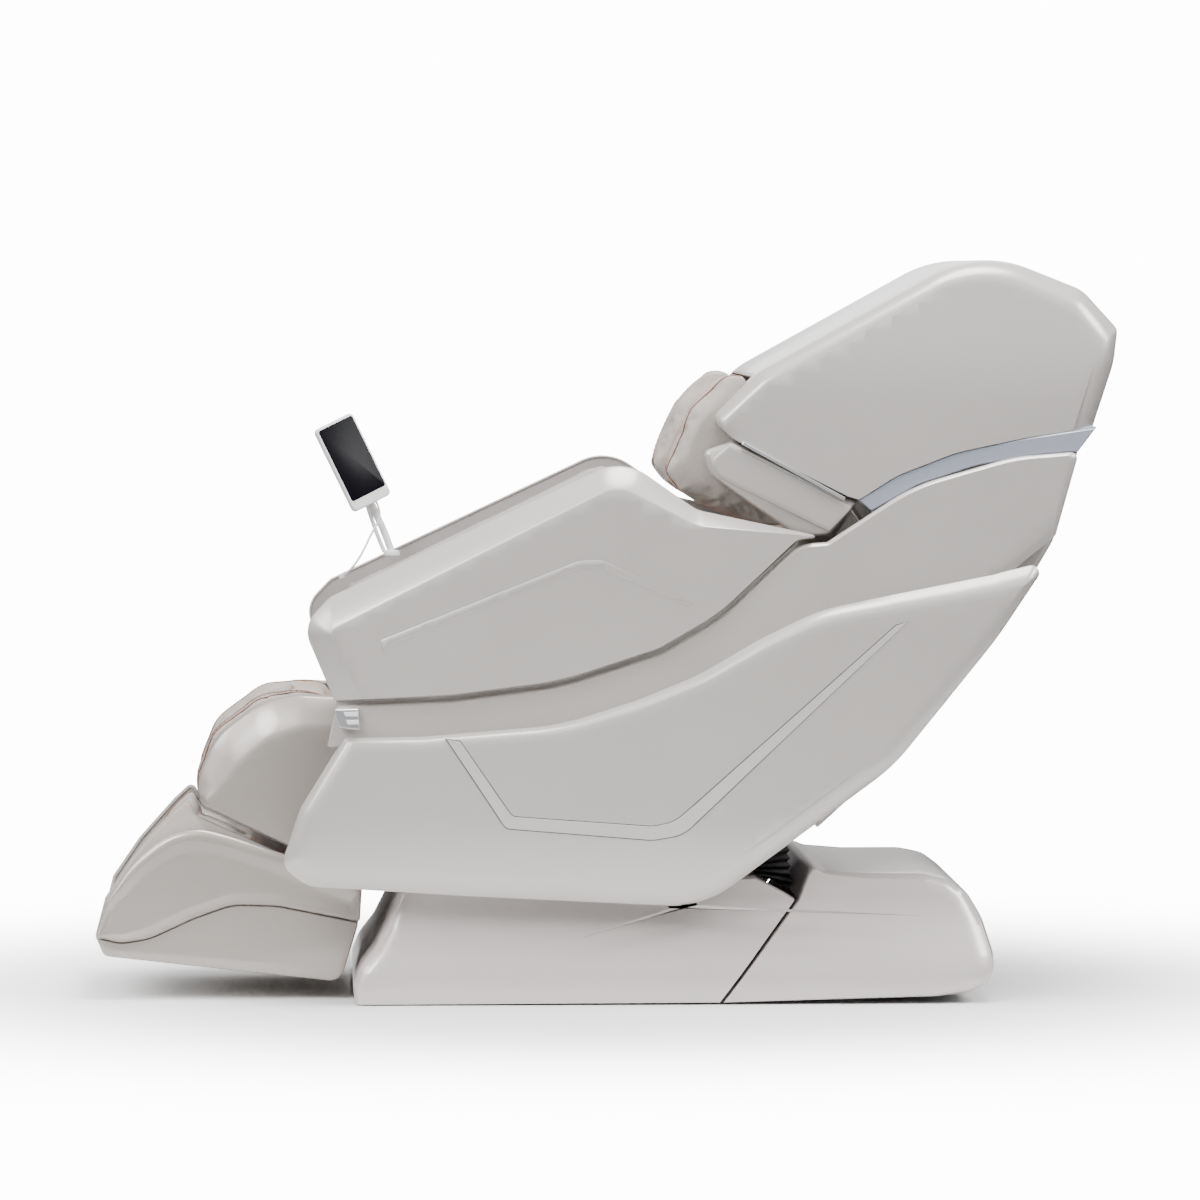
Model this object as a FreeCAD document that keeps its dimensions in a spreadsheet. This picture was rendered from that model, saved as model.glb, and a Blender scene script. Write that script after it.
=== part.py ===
import FreeCAD, Part
import math
import os

# Reclining massage chair.  Millimetres, +Z up.  The sitter faces -Y and +X is the sitter's left.
# The origin is on the floor, below the middle of the whole chair.

V = FreeCAD.Vector
doc = FreeCAD.newDocument("MassageChair")
sheet = doc.addObject("Spreadsheet::Sheet", "Sizes")

SIZES = (
    ("overall_length", 1620, "foot tray lip to hood back"),
    ("overall_height", 1173, "floor to top of hood"),
    ("overall_width", 790, "across both side shells"),
    ("shell_wall", 5, "moulded outer shells"),
    ("side_shell_depth", 38, "side shell, across the chair"),
    ("arm_panel_depth", 36, "arm panel, across the chair"),
    ("slide_gap", 5, "between side shells and the hood that slides between them"),
    ("band_recess", 3, "hood band below the hood surface"),
    ("rim_gap", 0.6, "between neighbouring shells of one body"),
    ("seat_width", 480, "seat and back cushions, calf and foot rests"),
    ("arm_wall", 25, "padded wall on each side of the forearm channel"),
    ("cushion_gap", 2.5, "beside the seat cushion"),
    ("plate_thickness", 9, "steel side plates of the seat"),
    ("rocker_radius", 300, "rolling surface of the rocker rails"),
    ("rocker_depth", 30, "rocker rail, radially"),
    ("rocker_width", 20, "rocker rail, across the chair"),
    ("roller_radius", 16, "support rollers"),
    ("shaft_radius", 8, "roller shafts and hinge pins"),
    ("bore_clearance", 0.05, "radial running clearance of shafts and pins"),
    ("rolling_gap", 0.3, "between a rolling pair"),
    ("base_width", 600, "upper part of the base covers"),
    ("skirt_width", 690, "lower skirt of the base covers"),
    ("skirt_height", 95, "top of the lower skirt"),
    ("rail_width", 40, "square tube of the base frame"),
    ("rail_inset", 42.5, "base rails inboard of the seat side plates"),
    ("foot_height", 22, "levelling feet"),
    ("foot_radius", 22, "levelling feet"),
    ("wheel_radius", 30, "transport wheels"),
    ("wheel_width", 24, "transport wheels"),
    ("axle_radius", 6, "transport wheel axle"),
    ("tube_size", 30, "cross tubes of the seat frame"),
    ("pan_thickness", 12, "seat board"),
    ("back_angle", 58, "back plane above horizontal, degrees"),
    ("back_rail_thickness", 10, "steel rails of the back frame"),
    ("back_rail_spacing", 360, "between the back rails"),
    ("screw_radius", 9, "lift screw of the massage carriage"),
    ("massage_roller_radius", 24, "massage rollers"),
    ("massage_roller_width", 26, "massage rollers"),
    ("massage_pin_radius", 5, "pins of the massage rollers"),
    ("calf_wall", 8, "calf rest side wall"),
    ("leg_pad_wall", 34, "padding outside each leg channel"),
    ("leg_channel_web", 60, "padding between the two legs"),
    ("foot_roller_radius", 17, "rollers under the soles"),
    ("slide_rod_radius", 7, "rods that the foot rest slides on"),
    ("actuator_radius", 26, "linear actuators"),
    ("actuator_rod_radius", 10, "linear actuator rods"),
    ("tablet_length", 150, "remote tablet"),
    ("tablet_width", 76, "remote tablet"),
    ("tablet_thickness", 11, "remote tablet"),
    ("cord_diameter", 4, "tablet cord"),
    ("emblem_size", 34, "vent trim on the arm front"),
)
for row, (alias, value, note) in enumerate(SIZES, start=1):
    sheet.set(f"A{row}", alias)
    sheet.set(f"B{row}", str(value))
    sheet.set(f"C{row}", note)
    sheet.setAlias(f"B{row}", alias)
doc.recompute()


def size(alias):
    return float(sheet.get(alias))


# Every outline is drawn for a chair of the drawn length and height and follows the two overall sizes.
DRAWN_LENGTH = 1620
DRAWN_HEIGHT = 1173
LENGTH_SCALE = size("overall_length") / DRAWN_LENGTH
HEIGHT_SCALE = size("overall_height") / DRAWN_HEIGHT


def at(y, z, radius=0.0):
    return (y * LENGTH_SCALE, z * HEIGHT_SCALE, radius)


def outline(*corners):
    return [at(*corner) for corner in corners]


def area(points):
    total = 0.0
    for here, after in zip(points, points[1:] + points[:1]):
        total += here[0] * after[1] - after[0] * here[1]
    return total / 2


def inset(points, distances):
    """Move each edge of a closed outline inwards by its own distance; a negative one moves it outwards."""
    turn = 1 if area(points) > 0 else -1
    count = len(points)
    lines = []
    for i, distance in enumerate(distances):
        here, after = points[i], points[(i + 1) % count]
        dy, dz = after[0] - here[0], after[1] - here[1]
        run = math.hypot(dy, dz)
        ny, nz = -dz / run * turn, dy / run * turn
        lines.append((here[0] + ny * distance, here[1] + nz * distance, dy / run, dz / run))
    moved = []
    for i in range(count):
        ay, az, ady, adz = lines[i - 1]
        by, bz, bdy, bdz = lines[i]
        cross = ady * bdz - adz * bdy
        along = ((by - ay) * bdz - (bz - az) * bdy) / cross
        convex = cross * turn > 0
        radius = points[i][2]
        change = distances[i] if distances[i] > 0 and distances[i - 1] > 0 else 0
        radius = max(radius - change, 0) if convex else (radius + change if radius else 0)
        moved.append((ay + ady * along, az + adz * along, radius))
    return moved


def rounded(points):
    """Straight runs joined by tangent arcs; an arc takes at most half of each run beside it."""
    count = len(points)
    ends = []
    arcs = []
    for i in range(count):
        here = V(*points[i][:2], 0)
        before = V(*points[i - 1][:2], 0) - here
        after = V(*points[(i + 1) % count][:2], 0) - here
        half = before.getAngle(after) / 2
        reach = points[i][2] / math.tan(half) if points[i][2] else 0
        reach = min(reach, before.Length * 0.49, after.Length * 0.49)
        first = here + before.normalize() * reach
        last = here + after.normalize() * reach
        if reach > 0.01 and half < math.pi / 2 - 0.002:
            radius = reach * math.tan(half)
            centre = here + (before + after).normalize() * (radius / math.sin(half))
            middle = centre + (here - centre).normalize() * radius
            arcs.append(Part.Arc(first, middle, last))
            ends.append((first, last))
        else:
            ends.append((here, here))
    lines = []
    for i in range(count):
        start, finish = ends[i][1], ends[(i + 1) % count][0]
        if (finish - start).Length > 0.01:
            lines.append(Part.LineSegment(start, finish))
    return lines + arcs


def plane(body, role):
    return next(feature for feature in body.Origin.OriginFeatures if feature.Role == role)


def sketch(body, geometry, offset="0"):
    """Sketch across the chair: its x is the chair's Y, its y is Z, and its normal is +X."""
    drawing = body.newObject("Sketcher::SketchObject", "Outline")
    drawing.AttachmentSupport = [(plane(body, "YZ_Plane"), "")]
    drawing.MapMode = "FlatFace"
    drawing.setExpression(".AttachmentOffset.Base.z", offset)
    drawing.addGeometry(geometry, False)
    return drawing


parts = []


def keep(obj, label):
    obj.Label = label
    parts.append(obj)
    return obj


def new_body():
    return doc.addObject("PartDesign::Body", "Piece")


def add_pad(body, geometry, start, depth):
    pad = body.newObject("PartDesign::Pad", "Pad")
    pad.Profile = sketch(body, geometry, start)
    pad.setExpression("Length", depth)
    return pad


def add_pocket(body, geometry, start, depth):
    """Cut towards +X from the sketch."""
    pocket = body.newObject("PartDesign::Pocket", "Pocket")
    pocket.Profile = sketch(body, geometry, start)
    pocket.setExpression("Length", depth)
    pocket.Reversed = True
    return pocket


def slab(label, points, start, depth, bores=()):
    """A plate or block of one outline, from start towards +X; bores are (y, z, radius)."""
    body = new_body()
    add_pad(body, rounded(points), start, depth)
    for y, z, radius in bores:
        add_pocket(body, [Part.Circle(V(y, z, 0), V(0, 0, 1), radius)], start, depth)
    return keep(body, label) if label else body


def hollow(label, points, walls, half_width, wall="Sizes.shell_wall"):
    """A casing symmetrical about the middle: side walls, and the edge walls that are above zero."""
    body = new_body()
    add_pad(body, rounded(points), f"-({half_width})", f"2*({half_width})")
    inner = rounded(inset(points, walls))
    add_pocket(body, inner, f"-({half_width} - {wall})", f"2*({half_width} - {wall})")
    return keep(body, label) if label else body


def tray(label, points, walls, start, depth, wall="Sizes.shell_wall"):
    """A casing on the left side of the chair, open towards the middle."""
    body = new_body()
    add_pad(body, rounded(points), start, depth)
    add_pocket(body, rounded(inset(points, walls)), start, f"{depth} - {wall}")
    return keep(body, label) if label else body


def mirrored(left, label):
    twin = doc.addObject("Part::Mirroring", "Mirror")
    twin.Source = left
    twin.Base = V(0, 0, 0)
    twin.Normal = V(1, 0, 0)
    return keep(twin, label) if label else twin


def rod(label, radius, start, direction, length):
    """A round bar; radius and length are expressions."""
    bar = doc.addObject("Part::Cylinder", "Bar")
    bar.setExpression("Radius", radius)
    bar.setExpression("Height", length)
    bar.Placement = FreeCAD.Placement(start, FreeCAD.Rotation(V(0, 0, 1), direction))
    return keep(bar, label) if label else bar


def box(label, corner, length, width, height):
    block = doc.addObject("Part::Box", "Block")
    block.setExpression("Length", length)
    block.setExpression("Width", width)
    block.setExpression("Height", height)
    block.Placement.Base = corner
    return keep(block, label) if label else block


def fused(label, *pieces):
    joined = doc.addObject("Part::MultiFuse", "Joined")
    joined.Shapes = list(pieces)
    return keep(joined, label) if label else joined


def cut(label, base, tool):
    result = doc.addObject("Part::Cut", "Cut")
    result.Base = base
    result.Tool = tool
    return keep(result, label) if label else result


def group(label, *pieces):
    """Identical loose pieces in one file."""
    bundle = doc.addObject("Part::Compound", "Group")
    bundle.Links = list(pieces)
    return keep(bundle, label)


def pair(label, left):
    """A left-hand piece and its mirror image in one file."""
    return group(label, left, mirrored(left, None))


# ---- the axes that the chair moves about, and the planes across it ----
ROCK_CENTRE = (at(0, 0)[0], at(0, 200)[1] + size("rocker_radius"))
BACK_HINGE = at(110, 370)
LEG_HINGE = at(-395, 440)
HALF = "Sizes.overall_width/2"
SHELL_INNER = f"({HALF} - Sizes.side_shell_depth)"
HOOD_HALF = f"({SHELL_INNER} - Sizes.slide_gap)"
BAND_HALF = f"({HOOD_HALF} - Sizes.band_recess)"
SEAT_HALF = "(Sizes.seat_width/2)"
PLATE_START = f"({SEAT_HALF} + Sizes.cushion_gap)"
half_width = size("overall_width") / 2
shell_inner = half_width - size("side_shell_depth")
seat_half = size("seat_width") / 2
plate_start = seat_half + size("cushion_gap")
plate_end = plate_start + size("plate_thickness")
wall = size("shell_wall")
running_bore = size("shaft_radius") + size("bore_clearance")

# ---- base: rails, feet, wheels, support rollers, tilt actuator, electrics, covers ----
foot_top = size("foot_height")
rail = size("rail_width")
rail_top = foot_top + rail
RAIL_START = f"({PLATE_START} - Sizes.rail_inset)"
rail_start = plate_start - size("rail_inset")
rail_front, rail_rear = at(-330, 0)[0], at(560, 0)[0]
wheel_y = at(470, 0)[0]
wheel_z = size("wheel_radius") + 3


def block_outline(y0, z0, y1, z1):
    return [(y0, z0, 0), (y1, z0, 0), (y1, z1, 0), (y0, z1, 0)]


axle_bore = (wheel_y, wheel_z, size("axle_radius"))
rail_outline = block_outline(rail_front, foot_top, rail_rear, rail_top)
pair("base_rails", slab(None, rail_outline, RAIL_START, "Sizes.rail_width", [axle_bore]))
group("base_cross_tubes", *[
    box(None, V(-rail_start, y, foot_top), f"2*{RAIL_START}", "Sizes.rail_width", "Sizes.rail_width")
    for y in (rail_front, rail_rear - rail)])
feet = []
for side in (-1, 1):
    for y in (rail_front + rail, rail_rear - 2 * rail):
        spot = V(side * (rail_start + rail / 2), y, 0)
        feet.append(rod(None, "Sizes.foot_radius*0.9", spot, V(0, 0, 1), "Sizes.foot_height"))
group("levelling_feet", *feet)
box("control_box", V(-180, rail_rear - 170, rail_top), "150", "160", "62")
box("air_pump", V(20, rail_rear - 150, rail_top), "150", "140", "70")

ROLLER_ANGLE = math.radians(30)
roller_reach = size("rocker_radius") + size("roller_radius") + size("rolling_gap")
roller_y = roller_reach * math.sin(ROLLER_ANGLE)
roller_z = ROCK_CENTRE[1] - roller_reach * math.cos(ROLLER_ANGLE)
bracket = [(-roller_y - 42, rail_top, 0), (roller_y + 42, rail_top, 0),
           (roller_y + 22, roller_z + 22, 20), (roller_y - 22, roller_z + 22, 20),
           (roller_y - 60, rail_top + 50, 40), (60 - roller_y, rail_top + 50, 40),
           (22 - roller_y, roller_z + 22, 20), (-roller_y - 22, roller_z + 22, 20)]
shaft_bores = [(side * roller_y, roller_z, running_bore) for side in (-1, 1)]
pair("support_brackets", slab(None, bracket, f"{RAIL_START} + 15", "12", shaft_bores))
ROCKER_START = f"({PLATE_START} + Sizes.plate_thickness + 3)"
rocker_start = plate_end + 3
for name, side in (("front_support_rollers", -1), ("rear_support_rollers", 1)):
    span = rocker_start + size("rocker_width")
    shaft = rod(None, "Sizes.shaft_radius", V(-span, side * roller_y, roller_z), V(1, 0, 0),
                f"2*({ROCKER_START} + Sizes.rocker_width)")
    rollers = [rod(None, "Sizes.roller_radius", V(x, side * roller_y, roller_z), V(1, 0, 0),
                   "Sizes.rocker_width") for x in (-span, rocker_start)]
    fused(name, shaft, *rollers)

axle_end = rail_start + rail + 5 + size("wheel_width")
rod("wheel_axle", "Sizes.axle_radius", V(-axle_end, wheel_y, wheel_z), V(1, 0, 0),
    f"2*({RAIL_START} + Sizes.rail_width + 5 + Sizes.wheel_width)")
wheel_outer = rod(None, "Sizes.wheel_radius", V(rail_start + rail + 3, wheel_y, wheel_z), V(1, 0, 0),
                  "Sizes.wheel_width")
wheel_bore = rod(None, "Sizes.axle_radius + Sizes.bore_clearance",
                 V(rail_start + rail, wheel_y, wheel_z), V(1, 0, 0), "Sizes.wheel_width + 6")
pair("transport_wheels", cut(None, wheel_outer, wheel_bore))

tilt_start = V(0, at(160, 0)[0], at(0, 135)[1])
TILT_BODY_LENGTH = 210
rod("tilt_actuator_body", "Sizes.actuator_radius", tilt_start, V(0, -1, 0), f"{TILT_BODY_LENGTH}")
rod("tilt_actuator_rod", "Sizes.actuator_rod_radius",
    tilt_start + V(0, -TILT_BODY_LENGTH - 0.5, 0), V(0, -1, 0), "60")

front_cover = outline((-396, 1), (-400, 31, 20), (-388, 62, 60), (-364, 94, 60), (-349, 125, 60),
                      (-325, 178, 12), (235, 199, 8), (301, 163, 4), (179, 3))
rear_cover = outline((183, 3), (305, 163, 4), (324, 217, 10), (347, 208, 20), (410, 203), (505, 203, 80),
                     (543, 195, 40), (574, 172, 50), (597, 133, 80), (613, 78, 40), (614, 55, 20),
                     (605, 31, 20), (574, 16, 30), (519, 11))
COVER_HALF = "Sizes.base_width/2"


def base_cover(label, points, walls):
    """A base cover: a narrow upper casing and a wider skirt below it, open underneath."""
    body = new_body()
    add_pad(body, rounded(points), f"-{COVER_HALF}", "Sizes.base_width")
    low = size("skirt_height") * HEIGHT_SCALE
    skirt = clipped(points, low)
    add_pad(body, rounded(skirt), "-Sizes.skirt_width/2", "Sizes.skirt_width")
    add_pocket(body, rounded(inset(points, walls)), f"-{COVER_HALF} + Sizes.shell_wall",
               "Sizes.base_width - 2*Sizes.shell_wall")
    inner = clipped(inset(points, walls), low - wall)
    add_pocket(body, rounded(inner), "-Sizes.skirt_width/2 + Sizes.shell_wall",
               "Sizes.skirt_width - 2*Sizes.shell_wall")
    return keep(body, label) if label else body


def clipped(points, top):
    """The part of an outline below a height."""
    kept = []
    for i, here in enumerate(points):
        before = points[i - 1]
        if (before[1] > top) != (here[1] > top):
            share = (top - before[1]) / (here[1] - before[1])
            kept.append((before[0] + (here[0] - before[0]) * share, top, 0))
        if here[1] <= top:
            kept.append(here)
    return kept


OPEN = -30
base_cover("base_front_cover", front_cover, [wall] * 5 + [OPEN, OPEN, OPEN, OPEN])
rear_body = base_cover(None, rear_cover, [OPEN] + [wall] * 11 + [OPEN, OPEN])
inlet_y, inlet_z = at(0, 0)[0] + rear_cover[9][0] - 24, at(0, 52)[1]
inlet_hole = box(None, V(-150, inlet_y, inlet_z), "50", "60", "24")
cut("base_rear_cover", rear_body, inlet_hole)
box("power_inlet", V(-150, inlet_y, inlet_z), "30", "20", "24")
box("power_switch", V(-118, inlet_y + 3, inlet_z + 1), "16", "16", "22")

# ---- seat: side shells, arms, rocker rails, seat board and cushion ----
side_outline = outline((-512, 222, 28), (-470, 190, 60), (-216, 174, 500), (150, 155, 160), (450, 378, 300),
                       (613, 579, 700), (702, 730, 40), (742, 872, 10), (640, 864, 300), (480, 818, 300),
                       (345, 730, 5), (300, 727, 60), (175, 610, 300), (81, 555, 60), (-75, 504, 500),
                       (-247, 482, 200), (-424, 475, 8), (-482, 313, 60))
shell_body = tray("side_shell_left", side_outline, [wall] * len(side_outline), SHELL_INNER,
                  "Sizes.side_shell_depth")
mirrored(shell_body, "side_shell_right")

arm_outline = outline((-478, 600, 45), (-428, 482, 6), (-247, 489, 200), (-75, 511, 500), (81, 562, 60),
                      (175, 617, 300), (300, 733, 40), (345, 737, 4), (140, 781, 60), (25, 862, 80),
                      (-435, 645, 30))
emblem_corner = at(-418, 440)
arm_left = tray("arm_panel_left", arm_outline, [wall] * len(arm_outline), SHELL_INNER,
                "Sizes.arm_panel_depth")
mirrored(arm_left, "arm_panel_right")

pad_outline = outline((-420, 492, 20), (-428, 600, 40), (-410, 642, 25), (25, 852, 70), (130, 772, 40),
                      (150, 640, 20), (60, 562, 30), (-75, 522, 200), (-247, 497, 100))
CHANNEL_START = f"({PLATE_START} + Sizes.plate_thickness + Sizes.arm_wall + 3)"
channel = outline((-400, 602, 20), (60, 758, 20), (60, 1000), (-400, 1000))
pad_body = new_body()
ARM_PAD_START = f"({PLATE_START} + 2)"
add_pad(pad_body, rounded(pad_outline), ARM_PAD_START, f"{SHELL_INNER} - 1 - {ARM_PAD_START}")
add_pocket(pad_body, rounded(channel), f"{ARM_PAD_START} + Sizes.arm_wall",
           f"{SHELL_INNER} - 1 - {ARM_PAD_START} - 1.4*Sizes.arm_wall")
keep(pad_body, "arm_pad_left")
mirrored(pad_body, "arm_pad_right")

emblem_outline = [(emblem_corner[0] + dy * size("emblem_size"), emblem_corner[1] + dz * size("emblem_size"), 2)
                  for dy, dz in ((0, 0), (1, 0.15), (0.9, 1), (-0.25, 0.9))]
pair("arm_vents", slab(None, emblem_outline, HALF, "2"))

ROCKER_SPAN = math.radians(52)
arc_y = size("rocker_radius") * math.sin(ROCKER_SPAN)
arc_z = ROCK_CENTRE[1] - size("rocker_radius") * math.cos(ROCKER_SPAN)
rocker_bottom = ROCK_CENTRE[1] - size("rocker_radius")
rocker_edge = [
    Part.Arc(V(-arc_y, arc_z, 0), V(0, rocker_bottom, 0), V(arc_y, arc_z, 0)),
    Part.LineSegment(V(arc_y, arc_z, 0), V(arc_y, arc_z + size("rocker_depth") / 2, 0)),
    Part.LineSegment(V(arc_y, arc_z + size("rocker_depth") / 2, 0),
                     V(-arc_y, arc_z + size("rocker_depth") / 2, 0)),
    Part.LineSegment(V(-arc_y, arc_z + size("rocker_depth") / 2, 0), V(-arc_y, arc_z, 0)),
]
rocker_body = new_body()
add_pad(rocker_body, rocker_edge, ROCKER_START, "Sizes.rocker_width")
pair("rocker_rails", rocker_body)
tube_bottom = arc_z + size("rocker_depth") / 2
tube = size("tube_size")
group("seat_cross_tubes", *[
    box(None, V(wall - half_width, y, tube_bottom), f"2*({HALF} - Sizes.shell_wall)",
        "Sizes.tube_size", "Sizes.tube_size")
    for y in (-arc_y + 5, -10 - tube)])
plate_bottom = tube_bottom + tube
hinge_y, hinge_z = BACK_HINGE[:2]
leg_y, leg_z = LEG_HINGE[:2]
seat_plate = [(leg_y - 18, leg_z - 18, 16), (leg_y - 18, leg_z + 18, 16), (at(-340, 0)[0], at(0, 452)[1], 10),
              (hinge_y + 40, at(0, 422)[1], 20), (hinge_y + 40, hinge_z - 30, 20),
              (hinge_y - 60, hinge_z - 30, 10), (hinge_y - 100, plate_bottom, 4),
              (-arc_y, plate_bottom, 4), (at(-340, 0)[0], leg_z - 40, 10)]
pin_holes = [(hinge_y, hinge_z, size("shaft_radius")), (leg_y, leg_z, size("shaft_radius"))]
pair("seat_side_plates", slab(None, seat_plate, PLATE_START, "Sizes.plate_thickness", pin_holes))
for name, centre in (("back_hinge_pin", BACK_HINGE), ("leg_hinge_pin", LEG_HINGE)):
    rod(name, "Sizes.shaft_radius", V(-plate_end, centre[0], centre[1]), V(1, 0, 0),
        f"2*({PLATE_START} + Sizes.plate_thickness)")
pan_outline = outline((-330, 412), (-330, 424), (80, 359), (80, 347))
slab("seat_board", pan_outline, f"-{PLATE_START}", f"2*{PLATE_START}")
seat_outline = outline((-326, 424, 8), (-334, 470, 28), (-305, 487, 28), (72, 424, 25), (80, 359.3, 8))
slab("seat_cushion", seat_outline, f"-{SEAT_HALF}", "Sizes.seat_width")

lower_run = outline((332, 279), (378, 321), (450, 378), (535, 477), (598, 562))


def bent_plate(label, run, thickness, half_width_name):
    """A plate that follows a bent line, its thickness above and in front of it."""
    back = list(reversed(run))
    loop = [(y, z, 60) for y, z, _ in run] + [(y - thickness * 0.75, z + thickness * 0.66, 60) for y, z, _ in back]
    return slab(label, loop, f"-({half_width_name})", f"2*({half_width_name})")


bent_plate("rear_lower_cover", lower_run, wall, f"{BAND_HALF} - 9")
boot_outline = outline((240, 206, 4), (294, 243, 4), (304, 233, 4), (312, 219, 4), (303, 207, 4),
                       (262, 205, 4))
slab("dust_boot", boot_outline, "-120", "240")
leg_start = V(0, at(-60, 0)[0], tube_bottom - 40)
LEG_BODY_LENGTH = 150
rod("leg_actuator_body", "Sizes.actuator_radius - 4", leg_start, V(0, -1, 0), f"{LEG_BODY_LENGTH}")
rod("leg_actuator_rod", "Sizes.actuator_rod_radius - 1",
    leg_start + V(0, -LEG_BODY_LENGTH - 0.5, 0), V(0, -1, 0), "70")

# ---- backrest: hood, band, wings, cushions, frame and rear cover ----
BACK_ANGLE = math.radians(size("back_angle"))
ALONG = V(0, math.cos(BACK_ANGLE), math.sin(BACK_ANGLE))
FORWARD = V(0, -math.sin(BACK_ANGLE), math.cos(BACK_ANGLE))


def on_back(along, forward, radius=0.0):
    """A corner given up the back plane from the hinge and in front of it."""
    return (hinge_y + ALONG.y * along + FORWARD.y * forward,
            hinge_z + ALONG.z * along + FORWARD.z * forward, radius)


def back_point(x, along, forward):
    y, z, _ = on_back(along, forward)
    return V(x, y, z)


hood_outline = outline((164, 924, 16), (240, 999, 100), (588, 1194, 190), (754, 1126, 60), (810, 1064, 15),
                       (803, 1010, 150), (769, 907.5), (660, 891.5, 200), (550, 868.5, 200), (457, 832.5, 100),
                       (397, 794.5, 4), (378, 800, 20), (199, 890, 40))
hollow("hood_shell", hood_outline, [OPEN] + [wall] * 5 + [OPEN] * 7, HOOD_HALF)
band_outline = outline((397, 794), (457, 832, 100), (550, 868, 200), (660, 891, 200), (769, 907),
                       (744, 874), (675, 868, 200), (582, 852, 200), (488, 821, 100), (414, 779))
hollow("hood_band", band_outline, [OPEN] * 4 + [wall] + [OPEN] * 5, BAND_HALF)
cover_outline = outline((414, 778.5), (488, 820.5, 100), (582, 851.5, 200), (675, 867.5, 200), (743, 873),
                        (704, 731, 60), (615, 579), (560, 625, 20), (470, 700, 40))
hollow("rear_upper_cover", cover_outline, [OPEN] * 4 + [wall] * 2 + [OPEN] * 3, BAND_HALF)

wing_outline = outline((150, 872, 10), (197, 889), (377, 798.5), (396, 792), (350, 738, 12), (300, 735, 20),
                       (160, 835, 30))
pair("shoulder_wings", slab(None, wing_outline, f"{HOOD_HALF} - 48", "42"))
side_pad_outline = outline((88, 838, 12), (128, 942, 30), (186, 999, 26), (216, 1000, 14), (229, 978, 8),
                           (222, 900, 20), (300, 852, 20), (316, 800, 20), (292, 742, 16), (176, 778, 20),
                           (112, 806, 16))
pair("side_pads", slab(None, side_pad_outline, "180", f"{HOOD_HALF} - 52 - 180"))

back_cushion = [on_back(42, -20, 10), on_back(42, 34, 14), on_back(600, 34, 14), on_back(600, -20, 10)]
slab("back_cushion", back_cushion, f"-{SEAT_HALF}", "Sizes.seat_width")
pillow = [on_back(606, 20, 20), on_back(606, 82, 30), on_back(770, 92, 40), on_back(770, 20, 20)]
slab("head_pillow", pillow, "-150", "300")

RAIL_BACK, RAIL_FRONT = -130, -90
RAIL_LENGTH = 640
back_rail = [on_back(-18, -18, 16), on_back(-18, 18, 16), on_back(20, 18, 14), on_back(52, RAIL_FRONT, 20),
             on_back(RAIL_LENGTH, RAIL_FRONT, 4), on_back(RAIL_LENGTH, RAIL_BACK, 4),
             on_back(20, RAIL_BACK, 20)]
RAIL_INNER = "(Sizes.back_rail_spacing/2)"
rail_inner = size("back_rail_spacing") / 2
hinge_bore = (hinge_y, hinge_z, running_bore)
pair("back_rails", slab(None, back_rail, RAIL_INNER, "Sizes.back_rail_thickness", [hinge_bore]))
SCREW_FORWARD = (RAIL_BACK + RAIL_FRONT) / 2
screw_bore = size("screw_radius") + size("bore_clearance")
beams = []
for along in (75, RAIL_LENGTH - 25):
    beam = slab(None, [on_back(along, RAIL_BACK), on_back(along, RAIL_FRONT), on_back(along + 20, RAIL_FRONT),
                       on_back(along + 20, RAIL_BACK)], f"-{RAIL_INNER}", "Sizes.back_rail_spacing")
    drill = rod(None, "Sizes.screw_radius + Sizes.bore_clearance", back_point(0, along - 5, SCREW_FORWARD),
                ALONG, "30")
    beams.append(cut(None, beam, drill))
group("back_cross_beams", *beams)
rod("lift_screw", "Sizes.screw_radius", back_point(0, 72, SCREW_FORWARD), ALONG, f"{RAIL_LENGTH - 72}")

# ---- massage carriage ----
CARRIAGE_LOW, CARRIAGE_TALL = 100, 130
chassis_outline = [on_back(CARRIAGE_LOW, RAIL_BACK + 4), on_back(CARRIAGE_LOW, RAIL_FRONT + 4),
                   on_back(CARRIAGE_LOW + CARRIAGE_TALL, RAIL_FRONT + 4),
                   on_back(CARRIAGE_LOW + CARRIAGE_TALL, RAIL_BACK + 4)]
chassis = slab(None, chassis_outline, f"-{RAIL_INNER} + 1", "Sizes.back_rail_spacing - 2")
nut_bore = rod(None, "Sizes.screw_radius + 6*Sizes.bore_clearance",
               back_point(0, CARRIAGE_LOW - 5, SCREW_FORWARD), ALONG, f"{CARRIAGE_TALL + 10}")
cut("massage_carriage", chassis, nut_bore)
MOTOR_RADIUS = 19
MOTOR_LENGTH = 120
group("carriage_motors", *[
    rod(None, f"{MOTOR_RADIUS}", back_point(x, CARRIAGE_LOW + CARRIAGE_TALL + MOTOR_RADIUS, SCREW_FORWARD + 2),
        V(1, 0, 0), f"{MOTOR_LENGTH}")
    for x in (-25 - MOTOR_LENGTH, 25)])
ARM_MIDDLE = CARRIAGE_LOW + CARRIAGE_TALL / 2
ROLLER_SPREAD = 62
ROLLER_FORWARD = -50
roller_size = size("massage_roller_radius")
pin_size = size("massage_pin_radius")
arm_shape = [on_back(ARM_MIDDLE - ROLLER_SPREAD - 10, ROLLER_FORWARD - 8, 8),
             on_back(ARM_MIDDLE - ROLLER_SPREAD - 10, ROLLER_FORWARD + 10, 8),
             on_back(ARM_MIDDLE, ROLLER_FORWARD - 14, 60),
             on_back(ARM_MIDDLE + ROLLER_SPREAD + 10, ROLLER_FORWARD + 10, 8),
             on_back(ARM_MIDDLE + ROLLER_SPREAD + 10, ROLLER_FORWARD - 8, 8),
             on_back(ARM_MIDDLE, ROLLER_FORWARD - 31, 60)]
arm_bar = slab(None, arm_shape, "52", "10")
pins = []
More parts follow.
